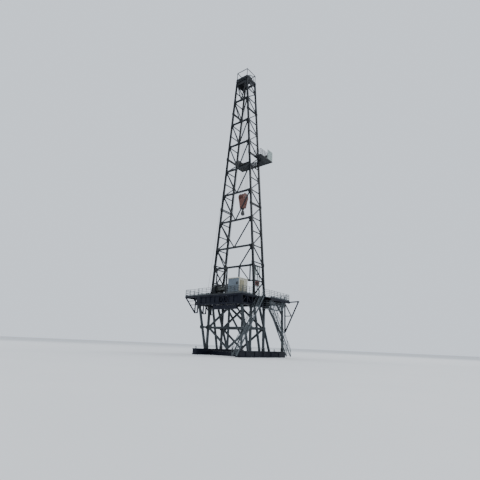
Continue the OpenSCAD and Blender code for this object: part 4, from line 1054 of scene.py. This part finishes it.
class RIG_OT_railing_trim(bpy.types.Operator):
    """Add toe boards and post sockets along the railings"""
    bl_idname = "rig.railing_trim"
    bl_label = "Toe boards and sockets"

    def execute(self, context):
        boards = []
        sockets = []
        for fixed, start, end, bays, along_x in RAIL_RUNS:
            low, high = (start, fixed - 0.001), (end, fixed + 0.001)
            middle, wide = (0, fixed, 0), (1, TOE_FOLD, 1)
            if not along_x:
                low, high = low[::-1], high[::-1]
                middle, wide = (fixed, 0, 0), (TOE_FOLD, 1, 1)
            boards.append(begin_block("toe_board", (*low, FLOOR_Z - 0.0005), (*high, FLOOR_Z + 0.015)))
            # The board's top edge is folded to both sides
            pick_side(0, 0, 1)
            shoulder(wide, middle)
            raise_by(0, 0, 0.0014)
            for spot in spread(start + RAIL_T / 2, end - RAIL_T / 2, (end - start) / bays):
                sockets.append(at(spot, fixed, FLOOR_Z) if along_x else at(fixed, spot, FLOOR_Z))
        dress(joined("toe_boards", boards), ZINC)
        socket = begin_block("post_sockets", (-0.0045, -0.0045, -0.0005), (0.0045, 0.0045, 0.024))
        bevel_edges(0.0012, "z")
        pick_side(0, 0, 1)
        inset(0.0012, -0.001)
        dress(socket, ZINC, sockets)
        return {"FINISHED"}


class RIG_OT_stair_trim(bpy.types.Operator):
    """Add the noses of the stair treads and the gratings of the platforms"""
    bl_idname = "rig.stair_trim"
    bl_label = "Tread noses and gratings"

    def execute(self, context):
        # Folded strip along a tread's outer edge
        nose = begin_block("tread_noses", (-0.0345, -0.0012, -0.0045), (0.0345, 0.0, 0.0008))
        pick_side(0, 0, 1)
        shoulder((1, 3.0, 1), (0, -0.0012, 0))
        raise_by(0, 0, 0.0006)
        places = [at(x, y + way * ((k - 0.5) * GOING + 0.008), z - k * RISE + 0.003,
                     0.0 if way < 0 else math.pi)
                  for x, y, z, count, way in FLIGHTS for k in range(1, count)]
        dress(nose, STAIR_ZINC, places)
        low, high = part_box("platform_left")
        grating("platform_left_grating", (low.x + 0.014, low.y + 0.014),
                (high.x - 0.006, high.y - 0.014), FLOOR_Z)
        grating("platform_right_grating", (0.476, 0.306), (0.556, 0.640), FLOOR_Z)
        return {"FINISHED"}


class RIG_OT_base_trim(bpy.types.Operator):
    """Add the pinned lugs, gussets and bolts of the substructure, and the lower rear beam's channel"""
    bl_idname = "rig.base_trim"
    bl_label = "Substructure trim"

    def execute(self, context):
        # Lug plate, round at the pin and flat at the foot
        plate = begin_round("post_lugs", (0.0138, 0, 0), (0.0181, 0, 0), 0.022, 24)
        pick_faces(lambda middle, normal: normal.z < -0.3)
        raise_by(0, 0, -0.03)
        scale_by((1, 1, 0), (0, 0, -0.03))
        pair = copies(plate, [at(0, 0, 0), at(0, 0, 0, math.pi)])
        spots = [at(side * BOX_X, y, BASE_Z + 0.03) for side in SIDES for y in POST_FEET]
        spots += [at(side * BOX_X, y, z - 0.03, math.pi, "X") for side in SIDES for y, z in POST_HEADS]
        dress(pair, STRUT_GREY, spots, smooth=True)
        pin = collared_pin("post_pins", (1, 0, 0), PIN_REACH, 0.009, 16, 1.35, 0.004, 0.001)
        dress(pin, BARE, spots, smooth=True)
        # Bolted gussets where bars meet, on the side frames and on both cross frames
        gusset = begin_block("base_gussets", (-0.036, -0.0005, -0.03), (0.036, 0.003, 0.03))
        bevel_edges(0.013, "y")
        spots = [at(side * (BOX_X + 0.014), y, MID_Z, -side * QUARTER)
                 for side in SIDES for y in (-0.191, -0.05, 0.3)]
        joints = [(0, 0.13), (0, MID_Z), (0, 0.708), (-0.375, MID_Z), (0.375, MID_Z)]
        spots += [at(x, -0.062, z, math.pi) for x, z in joints] + [at(x, 0.314, z) for x, z in joints]
        dress(gusset, STRUT_GREY, spots)
        grid = [at(x, 0, z) for x in (-0.022, 0, 0.022) for z in (-0.014, 0.014)]
        bolts("base_bolts", (0, 0.003, 0), (0, 1, 0), 0.0034, 0.003, every(spots, grid))
        # Channel with stiffeners over the lower rear beam
        beam = begin_block("rear_beam", (-0.1012, -0.3325, 0.6648), (0.3652, -0.2998, 0.7232))
        pick_side(0, -1, 0)
        field(0.007, -0.0012)
        rib = begin_block("rear_beam_ribs", (-0.002, -0.3322, 0.671), (0.002, -0.3305, 0.717))
        bevel_edges(0.0005)
        ribs = copies(rib, [at(x, 0, 0) for x in spread(-0.04, 0.31, 0.058)])
        dress(joined("rear_beam_channel", [beam, ribs]), TRUSS_BLUE)
        # Eyes for lifting the base boxes
        eye = begin("base_lift_eyes", bpy.ops.mesh.primitive_torus_add, major_segments=24, minor_segments=8,
                    major_radius=0.013, minor_radius=0.0035, rotation=(0, QUARTER, 0))
        scale_by((1, 1, 1.25), (0, 0, 0))
        places = [at(side * BOX_X, y, BASE_Z + 0.012) for side in SIDES for y in (-0.3, 0.62)]
        dress(eye, NAVY, places, smooth=True)
        return {"FINISHED"}


class RIG_OT_rotary_trim(bpy.types.Operator):
    """Add the bushing ring and the bolts of the rotary table"""
    bl_idname = "rig.rotary_trim"
    bl_label = "Rotary table trim"

    def execute(self, context):
        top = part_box("rotary_table")[1].z
        ring = begin_round("rotary_bushing", (0, WELL_Y, top - 0.0005), (0, WELL_Y, top + 0.004), 0.064, 48)
        pick_faces(lambda middle, normal: abs(normal.z) > 0.9)
        inset(0.0155)
        bpy.ops.mesh.bridge_edge_loops()
        across = Vector((0, WELL_Y, 0))
        pick_edges(lambda middle, along: middle.z > top + 0.0035
                   and abs(along.dot((middle - across).xy.to_3d().normalized())) < 0.1)
        bevel(0.001)
        dress(ring, BARE, smooth=True)
        places = every([at(0, WELL_Y, 0)], round_about(12, "Z"))
        places += [at(x, WELL_Y + y - 0.074, -0.0061) for x in (-0.086, 0.086) for y in (-0.086, 0.086)]
        bolts("rotary_bolts", (0, 0.074, top), (0, 0, 1), 0.003, 0.0026, places, BARE)
        return {"FINISHED"}


class RIG_OT_stage(bpy.types.Operator):
    """Set the pale floor, the soft light and the camera"""
    bl_idname = "rig.stage"
    bl_label = "Floor, light and camera"

    def execute(self, context):
        look = context.scene.rig_look
        studio_floor()
        floor = begin("studio_floor", bpy.ops.mesh.primitive_circle_add, vertices=96,
                      radius=look.floor_radius, fill_type="NGON", location=(0, 0, -0.0005))
        close_edit()
        floor.data.materials.append(bpy.data.materials[VINYL])
        world = bpy.data.worlds.new("soft studio")
        context.scene.world = world
        world.use_nodes = True
        back = world.node_tree.nodes["Background"]
        back.inputs["Color"].default_value = (*look.sky, 1.0)
        back.inputs["Strength"].default_value = look.sky_strength
        for name, (place, size, energy) in LAMPS.items():
            lamp = bpy.data.lights.new(name, "AREA")
            lamp.size = size
            lamp.energy = energy
            holder = bpy.data.objects.new(name, lamp)
            context.collection.objects.link(holder)
            holder.location = place
            holder.rotation_euler = (AIM - Vector(place)).to_track_quat("-Z", "Y").to_euler()
        # The camera stands low by the rear right corner and looks up
        camera = bpy.data.objects.new("camera", bpy.data.cameras.new("camera"))
        context.collection.objects.link(camera)
        camera.matrix_world = at(*CAMERA_AT, YAW) @ at(0, 0, 0, QUARTER + PITCH, "X") @ at(0, 0, 0, ROLL)
        camera.data.lens = LENS
        camera.data.shift_x, camera.data.shift_y = SHIFT
        camera.data.clip_end = 300
        context.scene.camera = camera
        return {"FINISHED"}


STEPS = (
    RIG_OT_finishes, RIG_OT_drilling_line, RIG_OT_splices, RIG_OT_gussets, RIG_OT_crown,
    RIG_OT_block_trim, RIG_OT_drawworks, RIG_OT_small_winch, RIG_OT_cabin_trim, RIG_OT_board_trim,
    RIG_OT_railing_trim, RIG_OT_stair_trim, RIG_OT_base_trim, RIG_OT_rotary_trim, RIG_OT_stage,
)


class RIG_PT_panel(bpy.types.Panel):
    """Buttons for the rig's pieces"""
    bl_idname = "RIG_PT_panel"
    bl_label = "Drilling Rig"
    bl_space_type = "VIEW_3D"
    bl_region_type = "UI"
    bl_category = "Drilling Rig"

    def draw(self, context):
        for group in (context.scene.rig_sizes, context.scene.rig_paints, context.scene.rig_look):
            for name in group.__annotations__:
                self.layout.prop(group, name)
        for step in STEPS:
            self.layout.operator(step.bl_idname)


CLASSES = (RigSizes, RigPaints, RigLook, *STEPS, RIG_PT_panel)


def register():
    for cls in CLASSES:
        bpy.utils.register_class(cls)
    bpy.types.Scene.rig_sizes = bpy.props.PointerProperty(type=RigSizes)
    bpy.types.Scene.rig_paints = bpy.props.PointerProperty(type=RigPaints)
    bpy.types.Scene.rig_look = bpy.props.PointerProperty(type=RigLook)


def unregister():
    del bpy.types.Scene.rig_look
    del bpy.types.Scene.rig_paints
    del bpy.types.Scene.rig_sizes
    for cls in reversed(CLASSES):
        bpy.utils.unregister_class(cls)


def main():
    """Makes the pieces in order."""
    register()
    for step in STEPS:
        group, name = step.bl_idname.split(".")
        getattr(getattr(bpy.ops, group), name)()


if __name__ == "__main__":
    main()
